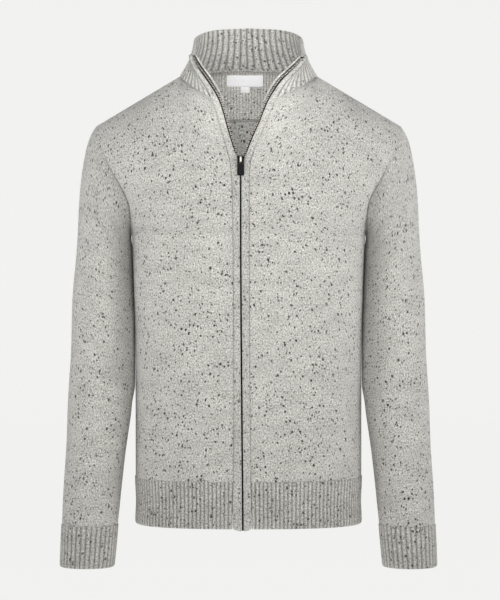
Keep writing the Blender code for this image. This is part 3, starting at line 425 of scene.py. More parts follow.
def turn_at(share):
    return math.asin(min(1.0, abs(share)) ** (SQUARENESS / 2))


def edge_point(side, line, z):
    """A point of a front edge: on the teeth's line ("zip") or on the band's seam ("seam")."""
    edge = EDGE_LEFT if side < 0 else EDGE_RIGHT
    return np.array((read(edge, line + "_x", z), -read(DEPTHS, line + "_depth", z), z))


def rise_at(angle):
    """How far up an armhole is reached, as its angle runs from 0 at the underarm to pi."""
    return (1 - math.cos(angle)) / 2


def fullness_at(rise):
    """How full the chest still is: 1 at the underarm, rounded off to 0 at the shoulder."""
    return (1 - rise**SHOULDER_ROUNDING) ** (1 / SHOULDER_ROUNDING)


def armhole_angles():
    """The rows' angles above the underarm."""
    return [math.pi * step / ARMHOLE_STEPS for step in range(1, ARMHOLE_STEPS + 1)]


def armhole_point(angle, depth):
    """One point of the right armhole."""
    rise = rise_at(angle)
    z = lerp(UNDERARM_Z, SHOULDER_TIP_Z, rise)
    return np.array((read(ARMHOLE, "x", rise), depth * math.sin(angle), z))


def shoulder_line():
    high = np.array((NECK_HALF, 0.0, 0.0))
    tip = np.array((SHOULDER_TIP_X, 0.0, SHOULDER_TIP_Z))
    return [lerp(high, tip, k / SHOULDER_STEPS) for k in range(1, SHOULDER_STEPS + 1)]


def front_neck_line(side):
    """The front half of the neckline, from the band to the high point, on the right side."""
    end = edge_point(side, "seam", NECK_FRONT_Z)
    end_turn = math.acos(side * end[0] / NECK_HALF)
    depth = -end[1] / math.sin(end_turn)
    line = []
    for k in range(FRONT_NECK_STEPS + 1):
        turn = end_turn * (1 - k / FRONT_NECK_STEPS)
        z = NECK_FRONT_Z * (turn / end_turn) ** NECK_DROP
        line.append(np.array((NECK_HALF * math.cos(turn), -depth * math.sin(turn), z)))
    return line


def back_neck_line():
    line = []
    for k in range(BACK_NECK_STEPS + 1):
        turn = math.pi / 2 * k / BACK_NECK_STEPS
        x = NECK_HALF * math.sin(turn)
        line.append(np.array((x, NECK_BACK_DEPTH * math.cos(turn), NECK_BACK_Z * math.cos(turn))))
    return line


def row_heights():
    return [lerp(HEM_TOP_Z, UNDERARM_Z, k / LOWER_ROWS) for k in range(LOWER_ROWS + 1)]


def body_row(z, start_x, depth, columns, inset=0.0):
    """A level row of one quarter of the body, from start_x round to the side seam, moved
    inwards by the inset."""
    half = read(WIDTHS, "half_width", z) - inset
    reach = math.copysign(abs(depth) - inset, depth)
    row = []
    for turn in np.linspace(turn_at(start_x / half), math.pi / 2, columns + 1):
        x = superellipse_x(half, turn)
        row.append((x, reach * superellipse_depth(x / half), z))
    return np.array(row)


def relaxed(depths, rise):
    """Evens out a line's bends, which a row well below the line no longer shows."""
    evened = np.array(depths)
    for _ in range(EVENING_PASSES):
        evened[1:-1] = (evened[:-2] + 2 * evened[1:-1] + evened[2:]) / 4
    sharp = max(0.0, (rise - EVENED_TO) / (1 - EVENED_TO)) ** 2
    return lerp(evened, np.array(depths), sharp)


def upper_row(angle, top, depths, start, chest, armhole_depth):
    """A row above the underarm: its columns climb to the top line and its depths, and its ends
    are held to the front edge and to the armhole."""
    columns = len(top) - 1
    rise = rise_at(angle)
    fullness = fullness_at(rise)
    end = armhole_point(angle, armhole_depth)
    half = end[0] / superellipse_depth(end[1] / chest)
    first, last = turn_at(start[0] / half), turn_at(end[0] / half)
    span = top[-1][0] - top[0][0]
    row = []
    for j in range(columns + 1):
        even_x = superellipse_x(half, lerp(first, last, j / columns))
        top_x = start[0] + (end[0] - start[0]) * (top[j][0] - top[0][0]) / span
        x = lerp(even_x, top_x, rise)
        y = lerp(depths[j], chest * superellipse_depth(x / half), fullness)
        z = lerp(UNDERARM_Z, top[j][2], rise)
        row.append([x, y, z])
    pull_start = start - np.array(row[0])
    pull_end = end - np.array(row[-1])
    for j in range(columns + 1):
        share = j / columns
        row[j] = np.array(row[j]) + pull_start * (1 - share) ** 3 + pull_end * share**3
    return row


def front_grid(side):
    """The right front's outer points for side 1. The left front's are mirrored by the caller."""
    rows = []
    for z in row_heights():
        seam_x, seam_y, _ = mirrored(edge_point(side, "seam", z), side)
        depth = -seam_y / superellipse_depth(seam_x / read(WIDTHS, "half_width", z))
        rows.append(body_row(z, seam_x, -depth, FRONT_NECK_STEPS + SHOULDER_STEPS))
    top = front_neck_line(side) + shoulder_line()
    for angle in armhole_angles():
        rise = rise_at(angle)
        z = lerp(UNDERARM_Z, top[0][2], rise)
        start = mirrored(edge_point(side, "seam", z), side)
        lies = relaxed([point[1] for point in top], rise)
        rows.append(upper_row(angle, top, lies, start, -CHEST_DEPTH_FRONT, -ARMHOLE_DEPTH_FRONT))
    return np.array(rows, float)


def back_grid():
    """The right half of the back's outer points."""
    columns = BACK_NECK_STEPS + SHOULDER_STEPS
    rows = [body_row(z, 0.0, read(DEPTHS, "back_depth", z), columns) for z in row_heights()]
    top = back_neck_line() + shoulder_line()
    depths = [point[1] for point in top]
    across = depths[:0:-1] + depths
    for angle in armhole_angles():
        rise = rise_at(angle)
        z = lerp(UNDERARM_Z, top[0][2], rise)
        lies = relaxed(across, rise)[columns:]
        start = np.array((0.0, lerp(lies[0], CHEST_DEPTH_BACK, fullness_at(rise)), z))
        rows.append(upper_row(angle, top, lies, start, CHEST_DEPTH_BACK, ARMHOLE_DEPTH_BACK))
    return np.array(rows, float)


def sleeve_ring(row, inset=0.0, armhole_share=0.0, samples=2 * ARMHOLE_STEPS):
    """A ring of the right sleeve, from the underarm up its front, over the top and down."""
    inner = np.array((row.inner_x + inset, row.inner_z))
    outer = np.array((row.outer_x - inset, row.outer_z))
    ring = []
    for k in range(samples):
        angle = 2 * math.pi * k / samples
        rise = rise_at(angle)
        depth = row.front if angle <= math.pi else row.back
        x, z = lerp(inner, outer, rise)
        straight = lerp(ARMHOLE[0].x, ARMHOLE[-1].x, rise)
        x += (read(ARMHOLE, "x", rise) - straight) * armhole_share
        ring.append((x, row.mid_y - (depth - inset) * math.sin(angle), z))
    return np.array(ring)


def sleeve_grid():
    rings = []
    for k in range(SLEEVE_STEPS + 1):
        along = k / SLEEVE_STEPS
        row = SleeveRow(along, *(read(SLEEVE, name, along) for name in SleeveRow._fields[1:]))
        rings.append(sleeve_ring(row, armhole_share=max(0.0, 1 - along / ARMHOLE_BLEND) ** 2))
    return np.array(rings)


def body_side_x(y, z):
    """How far the body's side reaches at a depth and height, below the underarm."""
    depth = read(DEPTHS, "seam_depth" if y < 0 else "back_depth", z)
    return read(WIDTHS, "half_width", z) * superellipse_depth(y / depth)


def leaning(grid):
    """Presses the inner side of a sleeve towards the body's side, which it leans on."""
    pressed = grid.copy()
    for point in pressed[1:-1].reshape(-1, 3):
        if point[0] > PRESS_LIMIT_X:
            continue
        side = body_side_x(point[1], point[2])
        gap = point[0] - side
        near = (1 - ease(gap / PRESS_REACH)) * ease((UNDERARM_Z - point[2]) / PRESS_FADE)
        near *= ease((point[2] - PRESS_END_Z) / PRESS_FADE)
        room, least = gap - PRESS_DEPTH * near, PRESS_GAP * near
        point[0] = side + least + (room + math.sqrt(room**2 + 4 * least**2)) / 2
    return pressed


def neck_loop():
    """The whole neckline as a fine line, from the left front end round the back."""
    back = np.array(back_neck_line())
    left_back = mirrored(back)[::-1]
    left_front = mirrored(np.array(front_neck_line(-1)))
    right_front = np.array(front_neck_line(1))[::-1]
    corners = np.vstack([left_front[:-1], left_back[:-1], back[:-1], right_front])
    return refine(corners, 12)


def rim_point(around):
    """A point of the rim; around runs from -1 at the left front end to 1 at the right."""
    side = 1 if around >= 0 else -1
    share = abs(around)
    point = np.array([read(RIM, name, share) for name in ("x", "y", "z")])
    end = mirrored(edge_point(side, "seam", RIM_END_Z[side]), side)
    last = RIM[-1]
    settle = max(0.0, (share - RIM[-2].around) / (1 - RIM[-2].around)) ** 2
    point += (end - np.array((last.x, last.y, last.z))) * settle
    return point * (side, 1, 1)


def collar_middle(columns_per_rib, rows):
    """The collar's middle surface, drawn in at mid height and held to both bands."""
    fine_rim = np.array([rim_point(around) for around in np.linspace(-1, 1, 600)])
    length = np.linalg.norm(np.diff(fine_rim, axis=0), axis=1).sum()
    columns = columns_per_rib * round(length / COLLAR_RIB_PITCH)
    rim = even_arc(fine_rim, columns)
    base = even_arc(neck_loop(), columns)
    spacing = np.linspace(-1, 1, columns + 1)
    outward = unit((base - rim) * (1, 1, 0) + base * (0.3, 0.3, 0))
    grid = []
    for k in range(rows + 1):
        rise = k / rows
        hollow = COLLAR_HOLLOW * math.sin(math.pi * rise)
        grid.append(lerp(base, rim, rise) - outward * hollow)
    grid = np.array(grid)
    for side, column in ((-1, 0), (1, -1)):
        for k in range(rows + 1):
            on_band = edge_point(side, "seam", lerp(NECK_FRONT_Z, RIM_END_Z[side], k / rows))
            pull = on_band - grid[k, column]
            weight = np.clip((np.abs(spacing) - 0.75) / 0.25, 0, 1) ** 2
            weight = np.where(np.sign(spacing) == side, weight, 0.0)
            grid[k] += pull[None, :] * weight[:, None]
    return grid


def edge_rungs(side, heights):
    """At each height: the point on the teeth's line, the way across to the band's seam, the
    outward normal and the distance across."""
    teeth, seam = (
        np.array([edge_point(side, line, z) for z in heights]) for line in ("zip", "seam")
    )
    across = unit(seam - teeth)
    along = unit(np.gradient(teeth, axis=0))
    outward = unit(np.cross(across, along) * side)
    return teeth, across, outward, np.linalg.norm(seam - teeth, axis=1)


def zip_share(z):
    """0 where the zip is closed, 1 where its two sides have parted."""
    return ease((z - ZIP_CLOSED_Z) / (ZIP_PARTED_Z - ZIP_CLOSED_Z))


# ---------------------------------------------------------------- folds


def near_line(x, z, ends):
    """The distance to a line between two ends, and how far along it the nearest point lies."""
    x0, z0, x1, z1 = ends
    length = (x1 - x0) ** 2 + (z1 - z0) ** 2
    t = np.clip(((x - x0) * (x1 - x0) + (z - z0) * (z1 - z0)) / length, 0, 1)
    return np.hypot(x - lerp(x0, x1, t), z - lerp(z0, z1, t)), t


def waver(x, z, turn=0.0):
    """The slow, uneven lie of soft cloth."""
    return WAVER_HEIGHT * (
        np.sin(x * 31 + z * 17 + 1.3 + turn)
        + np.sin(x * 13 - z * 41 + 4.1)
        + 0.7 * np.sin(x * 57 + z * 29 + 2.2)
    )


def edge_window(shape, closed=False):
    """1 inside a piece and 0 along its edges, where it must meet its neighbours."""
    rows, columns = (
        ease(np.minimum(np.arange(count), np.arange(count)[::-1]) / fade)
        for count, fade in zip(shape, EDGE_FADE)
    )
    return rows[:, None] * (np.ones(shape[1]) if closed else columns)


def fold_lift(x, z, folds, gain):
    """How high a set of folds lifts the cloth; each fold dies away at both of its ends."""
    lift = 0.0
    for *ends, width, height in folds:
        distance, t = near_line(x, z, ends)
        along = np.sin(math.pi * (0.12 + 0.76 * t))
        lift = lift + gain * height * np.exp(-((distance / width) ** 2)) * along
    return lift


def folded(grid, outward, folds):
    x, z = grid[..., 0], grid[..., 2]
    lift = waver(x, z) + fold_lift(x, z, folds, BODY_FOLD_GAIN)
    return grid + outward * (lift * edge_window(grid.shape))[..., None]


def sleeve_folded(grid, outward, folds):
    """Folds on a sleeve, whose turns in degrees are laid out flat at its radius."""
    flat = SLEEVE_RADIUS * math.pi / 180
    turns = flat * np.linspace(0, 360, grid.shape[1], endpoint=False)
    reach, z = np.broadcast_to(turns, grid.shape[:2]), grid[..., 2]
    laid = [(turn0 * flat, z0, turn1 * flat, z1, *size) for turn0, z0, turn1, z1, *size in folds]
    lift = waver(reach, z, 2.0) * 1.2 + fold_lift(reach, z, laid, SLEEVE_FOLD_GAIN)
    return grid + outward * (lift * edge_window(grid.shape, True))[..., None]


def armhole_rise(z):
    return (z - UNDERARM_Z) / (SHOULDER_TIP_Z - UNDERARM_Z)


def arm_crease(rise, distance, reach):
    """How far the cloth sinks at a distance from the front armhole, from the underarm up."""
    slope = ARM_CREASE * ease(rise / 0.10) * (1 - ease((rise - 0.40) / 0.18))
    pinch = ARM_PINCH * ease((rise - 0.06) / 0.16) * (1 - ease((rise - 0.50) / 0.12))
    pinch = pinch + ARM_SEAM_SINK * ease(rise / 0.05)
    near = np.exp(-((distance / (SEAM_TURN / 2)) ** 2))
    return slope * np.exp(-((distance / reach) ** 2)) + pinch * near


def with_turn(grid, out, axis, edge):
    """Slips in one more row or column close to an edge, where the cloth turns into its seam."""
    at = 1 if edge == 0 else grid.shape[axis] - 1
    near, next_in = (0, 1) if edge == 0 else (-1, -2)
    ends = np.take(grid, near, axis), np.take(grid, next_in, axis)
    share = SEAM_TURN / np.linalg.norm(ends[1] - ends[0], axis=-1, keepdims=True)
    extra = lerp(ends[0], ends[1], np.minimum(share, 0.5))
    ways = unit(lerp(np.take(out, near, axis), np.take(out, next_in, axis), 0.1))
    return np.insert(grid, at, extra, axis), np.insert(out, at, ways, axis)


# ---------------------------------------------------------------- knitted walls


def knit_wall(name, outer, inner, finish, closed=False, soft=(), places=None, shift=0.0):
    """A wall of knit: a grid is laid on the outer points and its extruded copy on the inner
    ones. Open edges named in soft are left to round off; the others stay square at a seam.
    places are the cloth's own flat coordinates in metres, which its finish follows."""
    rows, columns = outer.shape[0], outer.shape[1] + (1 if closed else 0)
    if places is None:
        across = arc_lengths(outer, 1)
        across = across - across[:, -1:] / 2
        places = np.stack([across + shift, level_lengths(outer)], axis=-1)
    places = places + np.array((0.0, shift))
    bm = bmesh.new()
    bmesh.ops.create_grid(bm, x_segments=columns - 1, y_segments=rows - 1, size=0.5)
    row_of = bm.verts.layers.int.new("row")
    column_of = bm.verts.layers.int.new("column")
    flat = bm.loops.layers.uv.new("cloth")
    for vert in bm.verts:
        vert[row_of] = round((vert.co.y + 0.5) * (rows - 1))
        vert[column_of] = round((vert.co.x + 0.5) * (columns - 1))
    for face in bm.faces:
        for loop in face.loops:
            loop[flat].uv = places[loop.vert[row_of], loop.vert[column_of]]
    for vert in bm.verts:
        vert[column_of] %= outer.shape[1]
        vert.co = outer[vert[row_of], vert[column_of]]
    if closed:
        bmesh.ops.remove_doubles(bm, verts=bm.verts, dist=1e-7)
    inside_of = bm.verts.layers.int.new("inside")
    extruded = bmesh.ops.extrude_face_region(bm, geom=bm.faces[:], use_keep_orig=True)
    for vert in extruded["geom"]:
        if isinstance(vert, bmesh.types.BMVert):
            vert[inside_of] = 1
            vert.co = inner[vert[row_of], vert[column_of]]
    bmesh.ops.recalc_face_normals(bm, faces=bm.faces)
    square_seams(bm, row_of, column_of, inside_of, outer.shape, closed, soft)
    return finished(name, bm, (finish,), rounded=True)


def square_seams(bm, row_of, column_of, inside_of, shape, closed, soft):
    """Keeps a wall's edges square along its seams when the surface is rounded."""
    crease = bm.edges.layers.float.new("crease_edge")
    row_ends = {0: "bottom", shape[0] - 1: "top"}
    column_ends = {} if closed else {0: "start", shape[1] - 1: "end"}
    for edge in bm.edges:
        one, two = edge.verts
        row_end, column_end = row_ends.get(one[row_of]), column_ends.get(one[column_of])
        if one[inside_of] != two[inside_of]:
            seams = [row_end, column_end]
        elif row_end and one[row_of] == two[row_of]:
            seams = [row_end]
        elif one[column_of] == two[column_of]:
            seams = [column_end]
        else:
            seams = [None]
        if all(seams) and not set(seams) & set(soft):
            edge[crease] = 1.0
            edge.smooth = False


def finished(name, bm, finishes, rounded=False):
    mesh = bpy.data.meshes.new(name)
    bm.to_mesh(mesh)
    bm.free()
    mesh.shade_smooth()
    for finish in finishes:
        mesh.materials.append(finish)
    made = bpy.data.objects.new(name, mesh)
    bpy.context.scene.collection.objects.link(made)
    if rounded:
        smooth = made.modifiers.new("soft_surface", "SUBSURF")
        smooth.levels = smooth.render_levels = 1
        smooth.boundary_smooth = "PRESERVE_CORNERS"
    return made


def join_in(piece):
    """The piece moves with the garment."""
    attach(piece, "garment")


def dress(piece, node):
    """The piece stands for a node of the solids and moves with the garment."""
    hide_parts(node)
    join_in(piece)
    return piece


# ---------------------------------------------------------------- finishes


class Value:
    """A number that a node tree works out, written as plain arithmetic."""

    def __init__(self, graph, socket):
        self.graph, self.socket = graph, socket

    def __add__(self, other):
        return self.graph.math("ADD", self, other)

    def __sub__(self, other):
        return self.graph.math("SUBTRACT", self, other)

    def __mul__(self, other):
        return self.graph.math("MULTIPLY", self, other)

    def __truediv__(self, other):
        return self.graph.math("DIVIDE", self, other)

    def __pow__(self, other):
        return self.graph.math("POWER", self, other)

    def __abs__(self):
        return self.graph.math("ABSOLUTE", self)


class Graph:
    """Short ways to add nodes to one node tree."""

    def __init__(self, tree):
        self.tree = tree

    def put(self, socket, value):
        """Links a socket to another node's output, or sets its number or its colour."""
        value = value.socket if isinstance(value, Value) else value
        if isinstance(value, bpy.types.NodeSocket):
            self.tree.links.new(value, socket)
        else:
            socket.default_value = (*value, 1.0) if isinstance(value, tuple) else value

    def node(self, kind, *values, **settings):
        """Adds a node, with values for its first inputs and settings of its own."""
        made = self.tree.nodes.new("ShaderNode" + kind)
        for label, value in settings.items():
            setattr(made, label, value)
        for socket, value in zip(made.inputs, values):
            self.put(socket, value)
        return made

    def math(self, operation, *values, clamp=False):
        made = self.node("Math", *values, operation=operation, use_clamp=clamp)
        return Value(self, made.outputs[0])

    def sine(self, value):
        return self.math("SINE", value)

    def split(self, kind, value):
        """The three numbers of a place (XYZ) or of a colour (Color)."""
        return [Value(self, part) for part in self.node("Separate" + kind, value).outputs]

    def cloth_place(self):
        """The cloth's own flat coordinates, in metres."""
        return self.node("UVMap", uv_map="cloth").outputs[0]

    def noise(self, place, scale, detail=2.0, roughness=0.5, dimensions="2D"):
        made = self.node("TexNoise", noise_dimensions=dimensions)
        values = {"Vector": place, "Scale": scale, "Detail": detail, "Roughness": roughness}
        for label, value in values.items():
            self.put(made.inputs[label], value)
        return Value(self, made.outputs["Fac"])

    def stretched(self, place, x, y):
        made = self.node("Mapping", place)
        made.inputs["Scale"].default_value = (x, y, 1.0)
        return made.outputs[0]

    def mix(self, share, first, second, kind="MIX"):
        made = self.node("Mix", data_type="RGBA", blend_type=kind)
        for index, value in ((0, share), (6, first), (7, second)):
            self.put(made.inputs[index], value)
        return made.outputs[2]

    def shaded(self, colour, tone):
        """A colour made lighter or darker by a grey tone."""
        grey = self.node("CombineColor", tone, tone, tone).outputs[0]
        return self.mix(1.0, colour, grey, "MULTIPLY")

    def bump(self, shader, height, distance, strength):
        made = self.node("Bump")
        for label, value in (("Distance", distance), ("Strength", strength), ("Height", height)):
            self.put(made.inputs[label], value)
        self.put(shader["Normal"], made.outputs[0])


def new_group(name, inputs, outputs):
    """Starts a node group, whose sockets are given as names and kinds."""
    group = bpy.data.node_groups.new(name, "ShaderNodeTree")
    for way, sockets in (("INPUT", inputs), ("OUTPUT", outputs)):
        for label, kind in sockets.items():
            group.interface.new_socket(name=label, in_out=way, socket_type="NodeSocket" + kind)
    ins, outs = group.nodes.new("NodeGroupInput"), group.nodes.new("NodeGroupOutput")
    return Graph(group), ins.outputs, outs.inputs


def stitch_group():
    """The legs of knitted stitches: each column of stitches has two legs that lean together."""
    graph, ins, outs = new_group(
        "knit_stitches",
        {"Place": "Vector", "Column width": "Float", "Row height": "Float"},
        {"Height": "Float"},
    )
    x, y, _ = graph.split("XYZ", ins["Place"])
    sway = (graph.noise(ins["Place"], 220.0, 1.0) - 0.5) * STITCH_SWAY
    u, v = (x + sway) / ins["Column width"], y / ins["Row height"]
    aside = abs(graph.math("FRACT", u) - 0.5)
    across = graph.sine(aside * (2 * math.pi))
    along = abs(graph.sine((aside * STITCH_LEAN + v) * math.pi))
    graph.put(outs["Height"], across**0.6 * (along * 0.6 + 0.4))
    return graph.tree


def fleck_mask(graph, place, layer):
    """Scattered specks: one place in each cell, of which only a share is filled."""
    x, y, _ = graph.split("XYZ", place)
    leant, squeezed = y * layer.lean + x, y * layer.squeeze + layer.shift
    spot = graph.node("CombineXYZ", leant, squeezed).outputs[0]
    cells = graph.node("TexVoronoi", voronoi_dimensions="2D")
    graph.put(cells.inputs["Vector"], spot)
    graph.put(cells.inputs["Scale"], 1.0 / layer.cell)
    chance, size, depth = graph.split("Color", cells.outputs["Color"])
    often = (graph.noise(spot, 26.0) * 2.2 - 0.1) * layer.chosen
    filled = graph.math("LESS_THAN", chance, often)
    least = layer.radius * 0.6 / layer.cell
    reach = Value(graph, cells.outputs["Distance"]) / (size * least + least)
    inside = graph.math("SUBTRACT", 1.0, reach, clamp=True)
    return graph.math("MULTIPLY", inside, 4.0, clamp=True) * filled * (depth * 0.2 + 0.8)


def yarn_group():
    """Marled yarn: slow tone changes along the rows, and the flecks spun into it."""
    graph, ins, outs = new_group(
        "flecked_yarn",
        {"Place": "Vector", "Yarn": "Color", "Flecks": "Float"},
        {"Colour": "Color", "Fluff": "Float"},
    )
    place = ins["Place"]
    marl = graph.noise(graph.stretched(place, 1.0, 0.8), 470.0, 2.0, 0.7) * 2.3 - 0.15
    cloud = graph.noise(graph.stretched(place, 0.55, 1.3), 38.0) * 0.37 + 0.815
    colour = graph.shaded(ins["Yarn"], marl * cloud)
    for layer in FLECK_LAYERS:
        share = fleck_mask(graph, place, layer) * ins["Flecks"]
        colour = graph.mix(share, colour, layer.tint)
    graph.put(outs["Colour"], colour)
    graph.put(outs["Fluff"], graph.noise(place, 900.0, 3.0))
    return graph.tree


def plain_finish(name, colour, roughness, settings):
    """A finish of one colour; settings are the shader's other inputs by name."""
    made = bpy.data.materials.new(name)
    made.use_nodes = True
    graph, shader = Graph(made.node_tree), made.node_tree.nodes["Principled BSDF"].inputs
    for label, value in {"Base Color": colour, "Roughness": roughness, **settings}.items():
        graph.put(shader[label], value)
    return made, graph, shader


def knit_finish(name, yarn, column, row, relief=0.0009, flecks=1.0, depth=0.34, rib=None):
    """Knitted wool, with painted shade in its stitch hollows and in a rib's grooves, where little
    light falls.
    """
    soft = {"Sheen Weight": 0.45, "Sheen Roughness": 0.6, "Specular IOR Level": 0.2}
    made, graph, shader = plain_finish(name, yarn, 0.95, soft)
    place = graph.cloth_place()
    yarns = graph.node("Group", place, yarn, flecks, node_tree=YARN).outputs
    stitches = graph.node("Group", place, column, row, node_tree=STITCHES)
    stitch = Value(graph, stitches.outputs[0])
    # Painted shade: depth darkens the colour in the hollows between the stitches' legs.
    shade = stitch * depth + (1 - 0.82 * depth)
    if rib:
        wave = graph.sine(graph.split("XYZ", place)[0] * (math.pi / rib.pitch))
        # Painted shade in the rib's grooves.
        shade = shade * (abs(wave) ** rib.crest * rib.groove + (1 - rib.groove))
    graph.put(shader["Base Color"], graph.shaded(yarns["Colour"], shade))
    graph.bump(shader, Value(graph, yarns["Fluff"]) * 0.35 + stitch, relief, 0.8)
    return made


def rib_finish(name, yarn, pitch, columns, groove, crest):
    """A rib's finish, with a number of stitch columns to each of its ribs."""
    rib = Rib(pitch, groove, crest)
    return knit_finish(name, yarn, pitch / columns, 0.0026, 0.0007, 0.9, rib=rib)


def woven_finish(name, colour, roughness, thread, painted_glow, shine):
    """A plain weave, on the piece's own flat coordinates. glow is painted light: emission in the
    weave's own colour.
    """
    painted_light = {"Specular IOR Level": shine, "Emission Color": colour, "Emission Strength": painted_glow}
    made, graph, shader = plain_finish(name, colour, roughness, painted_light)
    place = graph.cloth_place()
    warp, weft, _ = (graph.sine(at * (2 * math.pi / thread)) for at in graph.split("XYZ", place))
    lint = graph.noise(place, 400.0, dimensions="3D")
    graph.put(shader["Base Color"], graph.shaded(colour, lint * 0.2 + 0.9))
    graph.bump(shader, warp * weft, 0.0002, 0.6)
    return made


def hard_finish(name, colour, roughness, metallic, shine=0.5):
    """Metal or moulded plastic with fine handling marks."""
    hard = {"Metallic": metallic, "Specular IOR Level": shine}
    made, graph, shader = plain_finish(name, colour, roughness, hard)
    marks = graph.noise(graph.node("TexCoord").outputs["Object"], 900.0, 4.0, dimensions="3D")
    graph.put(shader["Roughness"], marks * 0.25 + (roughness - 0.12))
    graph.put(shader["Base Color"], graph.shaded(colour, marks * 0.3 + 0.85))
    graph.bump(shader, marks, 0.00005, 1.0)
    return made


STITCHES, YARN = stitch_group(), yarn_group()
# Each knit's depth, such as the neck's 0.55, is how dark its stitch hollows are painted: painted
# shade.
KNIT = knit_finish("body_knit", WOOL, 0.0031, 0.0023)
NECK_KNIT = knit_finish("neck_knit", NECK_WOOL, 0.0096, 0.0034, 0.0012, 0.8, 0.55)
# The ribs' 0.80 and 0.70 darken their grooves: painted shade.
RIB = rib_finish("collar_rib", COLLAR_WOOL, COLLAR_RIB_PITCH, 3, 0.80, 0.7)
HEM_RIB = rib_finish("hem_rib", RIB_WOOL, HEM_RIB_PITCH, 2, 0.70, 0.8)
CUFF_RIB = rib_finish("cuff_rib", RIB_WOOL, CUFF_RIB_PITCH, 2, 0.70, 0.8)
BAND = knit_finish("band_knit", BAND_WOOL, 0.0026, 0.0020, 0.0006, 0.7)
TAPE = woven_finish("zip_tape_weave", (0.008, 0.008, 0.009), 0.95, 0.0005, 0.0, 0.1)
# The label's 0.22 is painted light: emission that makes its white brighter than the lamps light it.
LABEL = woven_finish("label_satin", (0.94, 0.94, 0.95), 0.55, 0.0006, 0.22, 0.5)
COIL = hard_finish("zip_teeth_bronze", (0.78, 0.72, 0.64), 0.40, 0.6)
# The closed zip's teeth are painted near black, for the shade deep between the bands: painted
# shade.
SHADED_COIL = hard_finish("zip_teeth_painted_shade", (0.02, 0.019, 0.018), 0.6, 0.3)
GUNMETAL = hard_finish("slider_gunmetal", (0.06, 0.055, 0.05), 0.45, 1.0)
BRIGHT = hard_finish("bridge_steel", (0.72, 0.66, 0.60), 0.42, 1.0)
BLACK = hard_finish("pull_black", (0.008, 0.008, 0.008), 0.6, 0.0, 0.15)

# ---------------------------------------------------------------- body and sleeves


def towards(ways, near):
    """Normals, turned over if need be so that those in the middle point the given way."""
    middle = ways[ways.shape[0] // 3, ways.shape[1] // 3]
    return ways * np.sign(middle @ np.array(near, float))


def front_pieces():
    """Both fronts, with a rolled seam beside the band and the crease along the armhole."""
    for name, side in SIDES:
        grid = front_grid(side)
        out = towards(normals(grid), (0, -1, 0))
        grid = folded(grid, out, FRONT_FOLDS[side])
        from_band = arc_lengths(grid, 1)
        ridge = np.exp(-(((from_band - SEAM_RIDGE_AT) / SEAM_RIDGE) ** 2))
        roll = ridge - 1.5 * np.exp(-((from_band / SEAM_GROOVE) ** 2))
        roll = roll * ease((grid[..., 2] - HEM_TOP_Z - 0.004) / 0.020)
        grid = grid + out * (SEAM_ROLL * roll)[..., None]
        grid, out = with_turn(grid, out, 1, -1)
        lengths = arc_lengths(grid, 1)
        rise = armhole_rise(grid[:, -1:, 2])
        sunk = arm_crease(rise, lengths[:, -1:] - lengths, SEAM_TURN / 2)
        sunk = sunk * (np.arange(len(grid)) > LOWER_ROWS)[:, None]
        outer = mirrored(grid + BACKWARD * sunk[..., None], side)
        inner = outer - mirrored(out, side) * CLOTH
        piece = knit_wall(f"front_{name}_knit", outer, inner, KNIT, shift=side * 0.7)
        dress(piece, "front_" + name)


def back_pieces():
    """The back, and what is sewn inside its neck."""
    half = back_grid()
    grid = np.concatenate([mirrored(half)[:, :0:-1], half], axis=1)
    out = towards(normals(grid), (0, 1, 0))
    grid = folded(grid, out, BACK_FOLDS)
    inner = grid - out * CLOTH
    piece = dress(knit_wall("back_knit", grid, inner, KNIT), "back")
    neck_pieces(inner, out)


def sleeve_pieces():
    grid = sleeve_grid()
    out = normals(grid, closed=True)
    out *= np.sign(out[SLEEVE_STEPS // 2, ARMHOLE_STEPS, 0])
    for name, side in SIDES:
        folds = sleeve_folded(grid, out, SLEEVE_FOLDS[side])
        lain, ways = with_turn(leaning(folds), out, 0, 0)
        before = arc_lengths(lain, 0)
        in_front = (np.arange(lain.shape[1]) < ARMHOLE_STEPS)[None, :]
        rise = armhole_rise(lain[:1, :, 2])
        sunk = arm_crease(rise, before, ARM_CREASE_REACH) * in_front
        lain = lain + BACKWARD * sunk[..., None]
        outer, inner = mirrored(lain, side), mirrored(lain - ways * CLOTH, side)
        piece = knit_wall(
            f"sleeve_{name}_knit", outer, inner, KNIT, True, (), ring_places(lain), side * 0.9
        )
        dress(piece, "sleeve_" + name)


def ring_places(grid):
    """Flat coordinates on a tube, with the join at its underside."""
    closed = np.concatenate([grid, grid[:, :1]], axis=1)
    around = arc_lengths(closed, 1)
    return np.stack([around - around[:, -1:] / 2 + 0.37, 0.8 - level_lengths(closed)], axis=-1)


def neck_pieces(inside, out):
    """The second layer inside the back of the neck, its seams, the label and the tab."""
    middle = inside.shape[1] // 2
    span = np.s_[-NECK_PANEL_ROWS:, middle - BACK_NECK_STEPS : middle + BACK_NECK_STEPS + 1]
    points, ways = inside[span], out[span]
    outer, inner = points - ways * NECK_PANEL_GAP, points - ways * NECK_PANEL_INSIDE
    piece = knit_wall("neck_panel_knit", outer, inner, NECK_KNIT, soft=("bottom",))
    dress(piece, "back_neck_panel")
    seam_cord("neck_panel_seam", inner[0] + PANEL_CORD_LIFT, ways[0], PANEL_CORD_RADIUS)
    seam_cord("collar_seam", inner[-1] - COLLAR_CORD_DROP, ways[-1], COLLAR_CORD_RADIUS)
    tag_piece("neck_label", inner, NECK_LABEL)
    tag_piece("size_tab", inner, SIZE_TAB)


